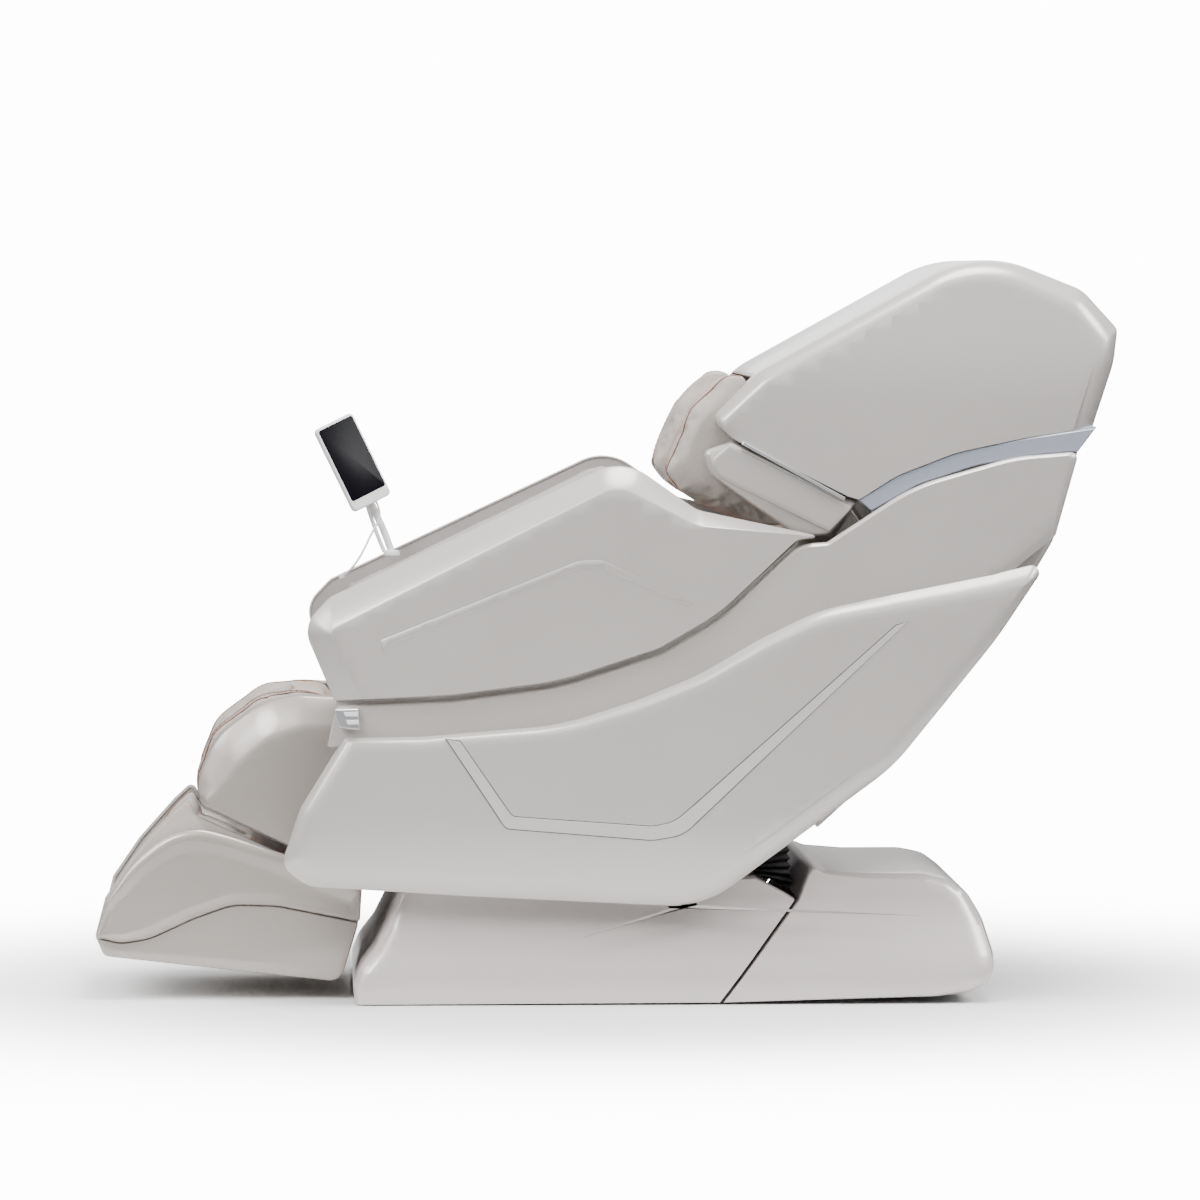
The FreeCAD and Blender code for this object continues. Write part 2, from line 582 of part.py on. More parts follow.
for name, along in (("lower", ARM_MIDDLE - ROLLER_SPREAD), ("upper", ARM_MIDDLE + ROLLER_SPREAD)):
    pins.append(rod(None, "Sizes.massage_pin_radius", back_point(60, along, ROLLER_FORWARD), V(1, 0, 0),
                    "Sizes.massage_roller_width + 3"))
    tyre = rod(None, "Sizes.massage_roller_radius", back_point(62.5, along, ROLLER_FORWARD), V(1, 0, 0),
               "Sizes.massage_roller_width")
    hole = rod(None, "Sizes.massage_pin_radius + Sizes.bore_clearance",
               back_point(55, along, ROLLER_FORWARD), V(1, 0, 0), "Sizes.massage_roller_width + 20")
    pair(f"massage_rollers_{name}", cut(None, tyre, hole))
pair("massage_arms", fused(None, arm_bar, *pins))

# ---- calf rest and foot rest ----
calf_outline = outline((-420, 482, 16), (-482, 486, 40), (-544, 475, 50), (-615, 422, 60), (-643, 360, 40),
                       (-646, 328, 20), (-636, 303, 10), (-497, 240, 20), (-398, 217, 10), (-374, 300, 60),
                       (-372, 410, 25), (-372, 462, 20))
OPEN_FRONT = [OPEN] * 6
calf_body = new_body()
add_pad(calf_body, rounded(calf_outline), f"-{SEAT_HALF}", "Sizes.seat_width")
calf_walls = OPEN_FRONT + [OPEN, OPEN] + [wall] * 4
add_pocket(calf_body, rounded(inset(calf_outline, calf_walls)), f"-{SEAT_HALF} + Sizes.calf_wall",
           "Sizes.seat_width - 2*Sizes.calf_wall")
add_pocket(calf_body, [Part.Circle(V(leg_y, leg_z, 0), V(0, 0, 1), running_bore)], f"-{SEAT_HALF}",
           "Sizes.seat_width")
keep(calf_body, "calf_shell")
calf_pad_outline = outline((-436, 490, 14), (-482, 495, 40), (-546, 484, 50), (-622, 428, 60), (-650, 360, 40),
                           (-653, 330, 16), (-634, 309, 10), (-497, 250, 20), (-406, 226, 10), (-384, 300, 60),
                           (-432, 400, 20))
leg_channel = outline((-700, 290), (-520, 300, 40), (-480, 400, 60), (-505, 600), (-700, 600))
calf_pad = new_body()
LEG_PAD_HALF = f"({SEAT_HALF} - Sizes.calf_wall - 38)"
leg_pad_half = seat_half - size("calf_wall") - 38
CHANNEL_WIDTH = f"({LEG_PAD_HALF} - Sizes.leg_channel_web/2 - Sizes.leg_pad_wall)"
CHANNEL_STARTS = ("Sizes.leg_channel_web/2", f"-Sizes.leg_channel_web/2 - {CHANNEL_WIDTH}")
add_pad(calf_pad, rounded(calf_pad_outline), f"-{LEG_PAD_HALF}", f"2*{LEG_PAD_HALF}")
for start in CHANNEL_STARTS:
    add_pocket(calf_pad, rounded(leg_channel), start, CHANNEL_WIDTH)
keep(calf_pad, "calf_pad")

foot_outline = outline((-808, 101, 10), (-794, 70, 14), (-419, 28, 22), (-391, 117, 60), (-386, 184, 16),
                       (-503, 227, 30), (-648, 294, 8), (-661, 319, 10), (-692, 290, 40), (-749, 226, 60),
                       (-792, 163, 12))
foot_body = new_body()
add_pad(foot_body, rounded(foot_outline), f"-{SEAT_HALF}", "Sizes.seat_width")
foot_walls = [wall] * 5 + [OPEN] * 6
add_pocket(foot_body, rounded(inset(foot_outline, foot_walls)), f"-{SEAT_HALF} + Sizes.calf_wall",
           "Sizes.seat_width - 2*Sizes.calf_wall")
keep(foot_body, "foot_shell")
foot_pad_outline = outline((-787, 158, 14), (-748, 222, 60), (-694, 286, 30), (-664, 314, 10), (-640, 285, 20),
                           (-505, 219, 20), (-455, 200, 10), (-470, 108, 30), (-782, 106, 10))
foot_well = outline((-760, 118, 10), (-600, 118, 30), (-556, 190, 60), (-600, 400), (-860, 400))
foot_pad = new_body()
add_pad(foot_pad, rounded(foot_pad_outline), f"-{LEG_PAD_HALF}", f"2*{LEG_PAD_HALF}")
for start in CHANNEL_STARTS:
    add_pocket(foot_pad, rounded(foot_well), start, CHANNEL_WIDTH)
keep(foot_pad, "foot_pad")
for name, y in (("foot_roller_front", -700), ("foot_roller_rear", -590)):
    spot = at(y, 84)
    rod(name, "Sizes.foot_roller_radius", V(4 - leg_pad_half, spot[0], spot[1]), V(1, 0, 0),
        f"2*({LEG_PAD_HALF} - 4)")
SLIDE = V(0, 0.46, 0.888).normalize()
slide_start = at(-592, 54)
bars = [rod(None, "Sizes.slide_rod_radius", V(side * (half - 1), slide_start[0], slide_start[1]), SLIDE, "330")
        for side in (-1, 1) for half in [seat_half - size("calf_wall") - 10]]
group("foot_slide_rods", *bars)

# ---- remote tablet on the right arm, with its cord ----
POST_X = -(plate_start + size("arm_wall") / 2 + 2)
post_foot = V(POST_X, *at(-333, 687)[:2])
knuckle = V(POST_X - 6, *at(-376, 796)[:2])
post_way = knuckle - post_foot
foot_disc = rod(None, "14", post_foot, V(0, 0, 1), "9")
post_bar = rod(None, "7", post_foot + V(0, 0, 4), post_way, f"{post_way.Length - 9}")
fused("tablet_post", foot_disc, post_bar)
UP_TABLET = V(0, -math.sin(math.radians(26)), math.cos(math.radians(26)))
FACE_TABLET = V(math.cos(math.radians(28)), math.sin(math.radians(28)) * UP_TABLET.z,
                -math.sin(math.radians(28)) * UP_TABLET.y)
ACROSS_TABLET = UP_TABLET.cross(FACE_TABLET)
tablet_turn = FreeCAD.Rotation(ACROSS_TABLET, UP_TABLET, FACE_TABLET, "ZXY")
tablet_middle = V(POST_X + 22, *at(-398, 841)[:2])
tablet_size = (size("tablet_width"), size("tablet_length"), size("tablet_thickness"))


def tablet_box(label, centre, across, tall, thick):
    plate = doc.addObject("Part::Box", "Plate")
    plate.setExpression("Length", across[1])
    plate.setExpression("Width", tall[1])
    plate.setExpression("Height", thick[1])
    corner = centre - ACROSS_TABLET * (across[0] / 2) - UP_TABLET * (tall[0] / 2) - FACE_TABLET * (thick[0] / 2)
    plate.Placement = FreeCAD.Placement(corner, tablet_turn)
    return keep(plate, label)


tablet_box("tablet", tablet_middle, (tablet_size[0], "Sizes.tablet_width"),
           (tablet_size[1], "Sizes.tablet_length"), (tablet_size[2], "Sizes.tablet_thickness"))
cradle_middle = tablet_middle - FACE_TABLET * (tablet_size[2] / 2 + 4.05) - UP_TABLET * 12
tablet_box("tablet_cradle", cradle_middle, (52, "52"), (84, "84"), (8, "8"))

CORD_RADIUS = size("cord_diameter") / 2
cord_exit = tablet_middle - UP_TABLET * (tablet_size[1] / 2 + 0.2) + ACROSS_TABLET * 8
PAD_FACE_X = -(plate_start + 2)
cord_points = [cord_exit, cord_exit - UP_TABLET * 24, V(POST_X + 22, *at(-366, 726)[:2]),
               V(POST_X + 31, *at(-378, 700)[:2]), V(POST_X + 37, *at(-392, 676)[:2]),
               V(POST_X + 31, *at(-407, 659)[:2]), V(PAD_FACE_X, *at(-414, 653)[:2])]


def cord_path(points):
    """Straight runs joined by arcs of 0.45 of the shorter run over the tangent of half the turn."""
    edges = []
    last = points[0]
    for before, here, after in zip(points, points[1:], points[2:]):
        back, ahead = (before - here), (after - here)
        reach = min(back.Length, ahead.Length) * 0.45
        turn = math.pi - back.getAngle(ahead)
        radius = reach / math.tan(turn / 2)
        print(f"cord turn {math.degrees(turn):.0f} degrees, radius {radius:.1f}")
        first, final = here + back.normalize() * reach, here + ahead.normalize() * reach
        half = (math.pi - turn) / 2
        centre = here + (back + ahead).normalize() * (radius / math.sin(half))
        middle = centre + (here - centre).normalize() * radius
        edges.append(Part.LineSegment(last, first).toShape())
        edges.append(Part.Arc(first, middle, final).toShape())
        last = final
    edges.append(Part.LineSegment(last, points[-1]).toShape())
    return Part.Wire(edges)


path = cord_path(cord_points)
ring = Part.Wire([Part.makeCircle(CORD_RADIUS, cord_points[0], cord_points[1] - cord_points[0])])
cord = doc.addObject("Part::Feature", "Cord")
cord.Shape = path.makePipeShell([ring], True, False)
if cord.Shape.Volume < 0:
    cord.Shape = cord.Shape.reversed()
keep(cord, "tablet_cord")
expected = math.pi * CORD_RADIUS ** 2 * path.Length
print(f"cord length {path.Length:.1f}, volume {cord.Shape.Volume:.0f} of {expected:.0f}")

# ---- check every object, then write one file for each sub-part ----
doc.recompute()
for obj in doc.Objects:
    if "Invalid" in obj.State or "Error" in obj.State:
        raise RuntimeError(f"{obj.Name} {obj.Label} failed: {obj.State}")
for part in parts:
    if part.Shape.isNull() or not part.Shape.isValid():
        raise RuntimeError(f"{part.Label} has no valid shape")
os.makedirs("parts", exist_ok=True)
for part in parts:
    part.Shape.exportStep(f"parts/{part.Label}.step")
print(f"{len(parts)} sub-parts written")
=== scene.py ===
import math

import bmesh
import bpy
from mathutils import Matrix, Vector
from mathutils.bvhtree import BVHTree


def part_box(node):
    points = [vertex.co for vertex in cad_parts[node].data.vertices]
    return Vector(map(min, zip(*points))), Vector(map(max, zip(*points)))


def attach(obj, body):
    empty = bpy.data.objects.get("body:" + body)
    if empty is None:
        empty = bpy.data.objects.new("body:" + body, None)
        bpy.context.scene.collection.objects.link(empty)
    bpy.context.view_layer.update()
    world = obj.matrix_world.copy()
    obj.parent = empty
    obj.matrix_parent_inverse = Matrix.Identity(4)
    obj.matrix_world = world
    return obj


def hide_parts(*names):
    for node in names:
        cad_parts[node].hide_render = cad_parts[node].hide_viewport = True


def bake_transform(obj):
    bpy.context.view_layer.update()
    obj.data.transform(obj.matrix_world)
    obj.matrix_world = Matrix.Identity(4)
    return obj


bl_info = {
    "name": "Massage chair",
    "version": (1, 0, 0),
    "blender": (4, 5, 0),
    "location": "View3D > Sidebar > Chair",
    "description": "Shells, cushions, remote and finishes of a reclining massage chair",
    "category": "Object",
}

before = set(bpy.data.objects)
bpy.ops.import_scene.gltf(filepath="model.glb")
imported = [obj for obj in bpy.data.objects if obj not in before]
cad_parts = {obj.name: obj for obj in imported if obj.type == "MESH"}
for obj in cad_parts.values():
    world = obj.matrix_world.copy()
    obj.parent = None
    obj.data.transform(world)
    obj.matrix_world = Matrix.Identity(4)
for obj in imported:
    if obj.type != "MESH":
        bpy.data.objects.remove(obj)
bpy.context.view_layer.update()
MM = 0.001
HALF_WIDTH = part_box("side_shell_left")[1][0]
SHELL_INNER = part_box("side_shell_left")[0][0]
HOOD_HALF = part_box("hood_shell")[1][0]
BAND_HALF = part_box("hood_band")[1][0]
CALF_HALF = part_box("calf_shell")[1][0]
FOOT_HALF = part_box("foot_shell")[1][0]
HANDS = (("left", 1), ("right", -1))


def length(name, description, default):
    return bpy.props.FloatProperty(name=name, description=description, default=default, unit="LENGTH")


def tint(name, description, default):
    return bpy.props.FloatVectorProperty(name=name, description=description, default=default, subtype="COLOR")


class ChairSizes(bpy.types.PropertyGroup):
    shell_wall: length("Shell wall", "Thickness of the moulded shells", 0.004)
    ridge_height: length("Ridge height", "How far the lower side panel stands out", 0.017)
    cushion_swell: length("Cushion swell", "Most that a cushion may puff out", 0.010)
    slice_width: length("Surface step", "Spacing of the cuts that let a panel curve", 0.022)


class ChairColours(bpy.types.PropertyGroup):
    pearl: tint("Pearl shell", "Champagne pearl of the side shells", (0.53, 0.50, 0.475))
    pearl_pink: tint("Base pearl", "Slightly pinker pearl of the base", (0.57, 0.525, 0.51))
    pearl_dark: tint("Leg shell pearl", "Glossier, darker pearl of the leg shells", (0.40, 0.365, 0.335))
    leather: tint("Taupe leather", "Main leather of the pads", (0.43, 0.39, 0.355))
    peach: tint("Peach leather", "Leather of the centre panels", (0.50, 0.36, 0.29))
    piping: tint("Piping", "Brown piping and stitches", (0.20, 0.095, 0.06))
    band: tint("Hood band", "Blue-grey satin trim", (0.42, 0.46, 0.54))


def sizes():
    return bpy.context.scene.chair_sizes


def colours():
    return bpy.context.scene.chair_colours


# ---------------------------------------------------------------- shader groups

def new_group(name, inputs, outputs):
    """A shader node group; sockets are (name, type, default)."""
    tree = bpy.data.node_groups.new(name, "ShaderNodeTree")
    for label, kind, default in inputs:
        socket = tree.interface.new_socket(label, in_out="INPUT", socket_type=kind)
        if default is not None:
            socket.default_value = default
    for label, kind in outputs:
        tree.interface.new_socket(label, in_out="OUTPUT", socket_type=kind)
    return tree, tree.nodes.new("NodeGroupInput"), tree.nodes.new("NodeGroupOutput")


def math_node(tree, operation, a, b=None, c=None, clamp=False):
    node = tree.nodes.new("ShaderNodeMath")
    node.operation = operation
    node.use_clamp = clamp
    for socket, value in zip(node.inputs, (a, b, c)):
        if value is None:
            continue
        if isinstance(value, (int, float)):
            socket.default_value = value
        else:
            tree.links.new(value, socket)
    return node.outputs[0]


def noise(tree, vector, scale, detail=2.0, roughness=0.5):
    node = tree.nodes.new("ShaderNodeTexNoise")
    node.inputs["Detail"].default_value = detail
    node.inputs["Roughness"].default_value = roughness
    tree.links.new(vector, node.inputs["Vector"])
    if isinstance(scale, (int, float)):
        node.inputs["Scale"].default_value = scale
    else:
        tree.links.new(scale, node.inputs["Scale"])
    return node.outputs["Fac"]


def mix_colour(tree, factor, first, second):
    node = tree.nodes.new("ShaderNodeMix")
    node.data_type = "RGBA"
    for socket, value in ((node.inputs[0], factor), (node.inputs[6], first), (node.inputs[7], second)):
        if isinstance(value, (int, float, tuple)):
            socket.default_value = value
        else:
            tree.links.new(value, socket)
    return node.outputs[2]


def shade_by(tree, tone, colour, target):
    """Multiply a colour by a grey tone, into the target socket."""
    grey = tree.nodes.new("ShaderNodeCombineColor")
    for socket in grey.inputs:
        tree.links.new(tone, socket)
    shade = tree.nodes.new("ShaderNodeMix")
    shade.data_type = "RGBA"
    shade.blend_type = "MULTIPLY"
    shade.inputs[0].default_value = 1.0
    tree.links.new(colour, shade.inputs[6])
    tree.links.new(grey.outputs[0], shade.inputs[7])
    tree.links.new(shade.outputs[2], target)


def moulded_group():
    """Painted moulding: fine metallic flecks, faint orange peel and slight gloss changes."""
    name = "moulded finish"
    if name in bpy.data.node_groups:
        return bpy.data.node_groups[name]
    tree, enter, leave = new_group(
        name,
        [("Colour", "NodeSocketColor", (0.5, 0.5, 0.5, 1)), ("Fleck", "NodeSocketFloat", 0.1),
         ("Roughness", "NodeSocketFloat", 0.3), ("Peel", "NodeSocketFloat", 0.1)],
        [("Colour", "NodeSocketColor"), ("Roughness", "NodeSocketFloat"), ("Height", "NodeSocketFloat")])
    coords = tree.nodes.new("ShaderNodeTexCoord").outputs["Object"]
    fleck = noise(tree, coords, 2600.0, 1.0)
    fleck = math_node(tree, "MULTIPLY", math_node(tree, "SUBTRACT", fleck, 0.5), enter.outputs["Fleck"])
    cloud = noise(tree, coords, 5.0, 2.0)
    tone = math_node(tree, "MULTIPLY_ADD", math_node(tree, "SUBTRACT", cloud, 0.5), 0.05, 1.0)
    tone = math_node(tree, "ADD", tone, fleck)
    shade_by(tree, tone, enter.outputs["Colour"], leave.inputs["Colour"])
    rough = math_node(tree, "MULTIPLY_ADD", math_node(tree, "SUBTRACT", cloud, 0.5), 0.08,
                      enter.outputs["Roughness"])
    tree.links.new(rough, leave.inputs["Roughness"])
    peel = noise(tree, coords, 240.0, 2.0)
    tree.links.new(math_node(tree, "MULTIPLY", peel, enter.outputs["Peel"]), leave.inputs["Height"])
    return tree


def leather_group():
    """Leather: pebbled grain, pores, soft creases and slow changes of tone."""
    name = "leather grain"
    if name in bpy.data.node_groups:
        return bpy.data.node_groups[name]
    tree, enter, leave = new_group(
        name,
        [("Colour", "NodeSocketColor", (0.5, 0.5, 0.5, 1)), ("Grain", "NodeSocketFloat", 420.0),
         ("Roughness", "NodeSocketFloat", 0.5)],
        [("Colour", "NodeSocketColor"), ("Roughness", "NodeSocketFloat"), ("Height", "NodeSocketFloat")])
    coords = tree.nodes.new("ShaderNodeTexCoord").outputs["Object"]
    cell = tree.nodes.new("ShaderNodeTexVoronoi")
    cell.feature = "DISTANCE_TO_EDGE"
    tree.links.new(coords, cell.inputs["Vector"])
    tree.links.new(enter.outputs["Grain"], cell.inputs["Scale"])
    pebble = math_node(tree, "MULTIPLY", cell.outputs["Distance"], 3.0, clamp=True)
    crease = noise(tree, coords, 26.0, 5.0, 0.6)
    height = math_node(tree, "MULTIPLY_ADD", crease, 0.8, pebble)
    tree.links.new(height, leave.inputs["Height"])
    cloud = noise(tree, coords, 7.0, 3.0)
    tone = math_node(tree, "MULTIPLY_ADD", pebble, 0.12, 0.86)
    tone = math_node(tree, "MULTIPLY_ADD", math_node(tree, "SUBTRACT", cloud, 0.5), 0.16, tone)
    shade_by(tree, tone, enter.outputs["Colour"], leave.inputs["Colour"])
    rough = math_node(tree, "MULTIPLY_ADD", pebble, -0.12, enter.outputs["Roughness"])
    tree.links.new(rough, leave.inputs["Roughness"])
    return tree


def new_material(name):
    material = bpy.data.materials.new(name)
    material.use_nodes = True
    return material, material.node_tree, material.node_tree.nodes["Principled BSDF"]


def place_group(tree, group, shader, bump, distance, values, colour=None):
    node = tree.nodes.new("ShaderNodeGroup")
    node.node_tree = group
    for label, value in values.items():
        node.inputs[label].default_value = value
    if colour is not None:
        tree.links.new(colour, node.inputs["Colour"])
    tree.links.new(node.outputs["Colour"], shader.inputs["Base Color"])
    tree.links.new(node.outputs["Roughness"], shader.inputs["Roughness"])
    relief = tree.nodes.new("ShaderNodeBump")
    relief.inputs["Strength"].default_value = bump
    relief.inputs["Distance"].default_value = distance
    tree.links.new(node.outputs["Height"], relief.inputs["Height"])
    tree.links.new(relief.outputs["Normal"], shader.inputs["Normal"])


def moulded(name, colour, roughness=0.3, fleck=0.10, coat=0.3, metallic=0.0, peel=0.12, coat_roughness=0.12,
             specular=0.5):
    """A painted or bare moulding."""
    if name in bpy.data.materials:
        return bpy.data.materials[name]
    material, tree, shader = new_material(name)
    shader.inputs["Metallic"].default_value = metallic
    shader.inputs["Specular IOR Level"].default_value = specular
    shader.inputs["Coat Weight"].default_value = coat
    shader.inputs["Coat Roughness"].default_value = coat_roughness
    place_group(tree, moulded_group(), shader, 0.25, 0.0004,
                {"Colour": (*colour, 1), "Fleck": fleck, "Roughness": roughness, "Peel": peel})
    return material


def leather(name, colour, centre=None, span=None, roughness=0.46):
    """Leather; where centre is given, that colour fills the panels that span gives from the middle line."""
    if name in bpy.data.materials:
        return bpy.data.materials[name]
    material, tree, shader = new_material(name)
    shader.inputs["Sheen Weight"].default_value = 0.12
    shader.inputs["Sheen Roughness"].default_value = 0.4
    source = None
    if centre is not None:
        split = tree.nodes.new("ShaderNodeSeparateXYZ")
        tree.links.new(tree.nodes.new("ShaderNodeTexCoord").outputs["Object"], split.inputs[0])
        away = math_node(tree, "ABSOLUTE", split.outputs["X"])
        low, high = span
        inside = math_node(tree, "MULTIPLY", math_node(tree, "GREATER_THAN", away, low),
                           math_node(tree, "LESS_THAN", away, high))
        source = mix_colour(tree, inside, (*colour, 1), (*centre, 1))
    place_group(tree, leather_group(), shader, 0.35, 0.0006,
                {"Colour": (*colour, 1), "Grain": 420.0, "Roughness": roughness}, source)
    return material


# colour, roughness, fleck, coat, metallic, peel, coat roughness, specular; the rest as moulded() has it
MOULDINGS = {
    "pearl shell": ("pearl", 0.33, 0.10, 0.45, 0.25),
    "base pearl": ("pearl_pink", 0.33, 0.08, 0.5, 0.25),
    "leg pearl": ("pearl_dark", 0.33, 0.10, 0.7, 0.3),
    "light strip": ((0.50, 0.47, 0.45), 0.42, 0.04, 0.1),
    "arm lining": ((0.36, 0.335, 0.325), 0.5, 0.06, 0.1),
    # near-black colour that paints the shade in the gap round the light strip
    "painted gap shade": ((0.10, 0.09, 0.085), 0.6, 0.02, 0.0),
    "hood band": ("band", 0.34, 0.05, 0.2, 0.35),
    "bright trim": ((0.66, 0.67, 0.70), 0.30, 0.0, 0.2, 0.75, 0.03),
    "white plastic": ((0.80, 0.80, 0.80), 0.28, 0.0, 0.3),
    "screen": ((0.002, 0.002, 0.004), 0.25, 0.0, 0.0, 0.0, 0.0, 0.03, 0.08),
    "black rubber": ((0.016, 0.016, 0.018), 0.62, 0.04, 0.0, 0.0, 0.5),
    "black plastic": ((0.03, 0.03, 0.032), 0.5, 0.05, 0.0, 0.0, 0.6),
    "frame paint": ((0.07, 0.07, 0.075), 0.45, 0.05, 0.1, 0.2, 0.5),
    "ground steel": ((0.55, 0.55, 0.56), 0.26, 0.06, 0.0, 1.0, 0.1),
    "plywood": ((0.42, 0.29, 0.17), 0.6, 0.3, 0.0, 0.0, 0.4),
}
# colour, colour of the centre panel, where that panel starts and ends from the middle line, roughness
LEATHERS = {
    "taupe leather": ("leather",),
    "piping": ("piping", None, None, 0.55),
    "seat leather": ("leather", "peach", (0.0, 0.135)),
    "side pad leather": ("leather", "peach", (0.222, 0.262)),
    "leg leather": ("leather", "peach", (0.050, 0.140)),
    "arm leather": ((0.44, 0.41, 0.395), "leather", (0.285, 0.325)),
}


def finish(name):
    """The chair's finishes by name, each made once."""
    def tone(value):
        return getattr(colours(), value) if isinstance(value, str) else value

    if name in MOULDINGS:
        colour, *rest = MOULDINGS[name]
        return moulded(name, tone(colour), *rest)
    colour, *rest = LEATHERS[name]
    if rest:
        rest[0] = tone(rest[0])
    return leather(name, tone(colour), *rest)


# ---------------------------------------------------------------- outlines and panels

def rounded(corners, counts=None, step=0.006):
    """Points in metres of a closed outline of (y, z, radius) corners in mm, rounded by tangent arcs.

    counts gives the number of chords at each corner, and is filled in when it is an empty list.
    """
    points = []
    count = len(corners)
    fill = counts is not None and not counts
    for i, corner in enumerate(corners):
        here = Vector(corner[:2]) * MM
        radius = corner[2] * MM if len(corner) > 2 else 0.0
        back = Vector(corners[i - 1][:2]) * MM - here
        ahead = Vector(corners[(i + 1) % count][:2]) * MM - here
        half = back.angle(ahead) / 2
        reach = min(radius / math.tan(half), back.length * 0.49, ahead.length * 0.49)
        radius = reach * math.tan(half)
        sweep = math.pi - 2 * half
        pieces = 0 if reach < 0.0005 else max(2, int(sweep * radius / step), int(sweep / 0.25))
        if fill:
            counts.append(pieces)
        elif counts:
            pieces = counts[i]
        if pieces == 0 or reach < 0.0001:
            points.extend([here] * (pieces + 1))
            continue
        centre = here + (back.normalized() + ahead.normalized()).normalized() * (radius / math.sin(half))
        first = here + back.normalized() * reach - centre
        turn = 1 if back.cross(ahead) < 0 else -1
        for k in range(pieces + 1):
            angle = turn * sweep * k / pieces
            spin = Vector((first.x * math.cos(angle) - first.y * math.sin(angle),
                           first.x * math.sin(angle) + first.y * math.cos(angle)))
            points.append(centre + spin)
    return points


def signed_area(points):
    return sum(a[0] * b[1] - b[0] * a[1] for a, b in zip(points, points[1:] + points[:1])) / 2


def between(first, second, share):
    """An outline part of the way from one outline to another with as many corners."""
    return [tuple(a + (b - a) * share for a, b in zip(p, q)) for p, q in zip(first, second)]


def inset(corners, distances):
    """Each edge of a (y, z, radius) outline moved inwards by its own distance, all in mm.

    A list of corners in place of the distances is taken as it is.
    """
    count = len(corners)
    if isinstance(distances, list) and isinstance(distances[0], tuple):
        return distances
    if isinstance(distances, (int, float)):
        distances = [distances] * count
    turn = 1 if signed_area(corners) > 0 else -1
    lines = []
    for i in range(count):
        here, after = Vector(corners[i][:2]), Vector(corners[(i + 1) % count][:2])
        way = (after - here).normalized()
        lines.append((here + Vector((-way.y, way.x)) * (turn * distances[i]), way))
    moved = []
    for i in range(count):
        (p, u), (q, w) = lines[i - 1], lines[i]
        cross = u.x * w.y - u.y * w.x
        if abs(cross) < 0.45:
            across = (Vector((-u.y, u.x)) + Vector((-w.y, w.x))).normalized() * turn
            spot = Vector(corners[i][:2]) + across * ((distances[i] + distances[i - 1]) / 2)
        else:
            gap = q - p
            spot = p + u * ((gap.x * w.y - gap.y * w.x) / cross)
        radius = corners[i][2] if len(corners[i]) > 2 else 0
        change = min(distances[i], distances[i - 1])
        radius = max(radius - change * (1 if cross * turn > 0 else -1), 0.0) if radius else 0.0
        moved.append((spot.x, spot.y, radius))
    return moved


def add_object(name, data):
    piece = bpy.data.objects.new(name, data)
    bpy.context.scene.collection.objects.link(piece)
    return piece


def new_object(name, bm, material, smooth=True, angle=35.0):
    """A mesh object from a bmesh, shaded smooth with creases kept where faces meet sharply."""
    mesh = bpy.data.meshes.new(name)
    bm.to_mesh(mesh)
    bm.free()
    piece = add_object(name, mesh)
    mesh.materials.append(material)
    if smooth:
        mesh.shade_smooth()
        mesh.set_sharp_from_angle(angle=math.radians(angle))
    return piece


def ring(bm, points, x):
    return [bm.verts.new((x, p[0], p[1])) for p in points]


def join_rings(bm, first, second):
    for i in range(len(first)):
        j = (i + 1) % len(first)
        bm.faces.new((first[i], first[j], second[j], second[i]))


def slice_cap(bm, faces, step):
    """Cut flat faces into a grid across Y and Z, so that they can be curved."""
    ys = [v.co.y for f in faces for v in f.verts]
    zs = [v.co.z for f in faces for v in f.verts]
    for axis, low, high in ((1, min(ys), max(ys)), (2, min(zs), max(zs))):
        spot = low + step
        while spot < high - step * 0.3:
            normal = Vector((0, 0, 0))
            normal[axis] = 1.0
            cells = [f for f in faces if f.is_valid]
            geometry = set(cells)
            for face in cells:
                geometry.update(face.edges)
                geometry.update(face.verts)
            cut = bmesh.ops.bisect_plane(bm, geom=list(geometry), plane_co=normal * spot, plane_no=normal,
                                         dist=1e-6)
            faces = [g for g in cut["geom"] if isinstance(g, bmesh.types.BMFace)]
            spot += step
    return faces


def panel(name, corners, levels, material, back_x, crown=None, step=None, side=1):
    """A moulding seen from the side: rings of the outline at (inset mm, x) levels, a cap, and an open back.

    crown(y, z) gives how far the surface sinks towards the middle of the chair, in metres.
    A side of -1 makes the right-hand twin.
    """
    bm = bmesh.new()
    counts = []
    rings = [ring(bm, rounded(corners, counts), back_x)]
    for distance, x in levels:
        rings.append(ring(bm, rounded(inset(corners, distance), counts), x))
    for first, second in zip(rings, rings[1:]):
        join_rings(bm, first, second)
    bm.faces.new(rings[-1])
    bmesh.ops.remove_doubles(bm, verts=bm.verts, dist=1e-5)
    if crown is not None:
        cap = max(bm.faces, key=lambda f: len(f.verts))
        slice_cap(bm, [cap], step or sizes().slice_width)
        for vert in bm.verts:
            if vert.co.x > back_x + 1e-5:
                vert.co.x -= crown(vert.co.y, vert.co.z)
    bmesh.ops.recalc_face_normals(bm, faces=bm.faces)
    if max(bm.faces, key=lambda f: f.calc_area()).normal.x < 0:
        bmesh.ops.reverse_faces(bm, faces=bm.faces)
    if side < 0:
        bmesh.ops.scale(bm, vec=Vector((-1, 1, 1)), verts=bm.verts)
        bmesh.ops.reverse_faces(bm, faces=bm.faces)
    return new_object(name, bm, material)


def thicken(piece, wall=None):
    """Give an open moulding its wall, inside the surface."""
    solid = piece.modifiers.new("Wall", "SOLIDIFY")
    solid.thickness = wall or sizes().shell_wall
    solid.offset = -1
    solid.use_even_offset = True
    return piece


def smoothstep(low, high, value):
    share = min(max((value - low) / (high - low), 0.0), 1.0)
    return share * share * (3 - 2 * share)


def both_sides(make):
    for hand, side in HANDS:
        make(hand, side)


# ---------------------------------------------------------------- outlines of the side mouldings, mm

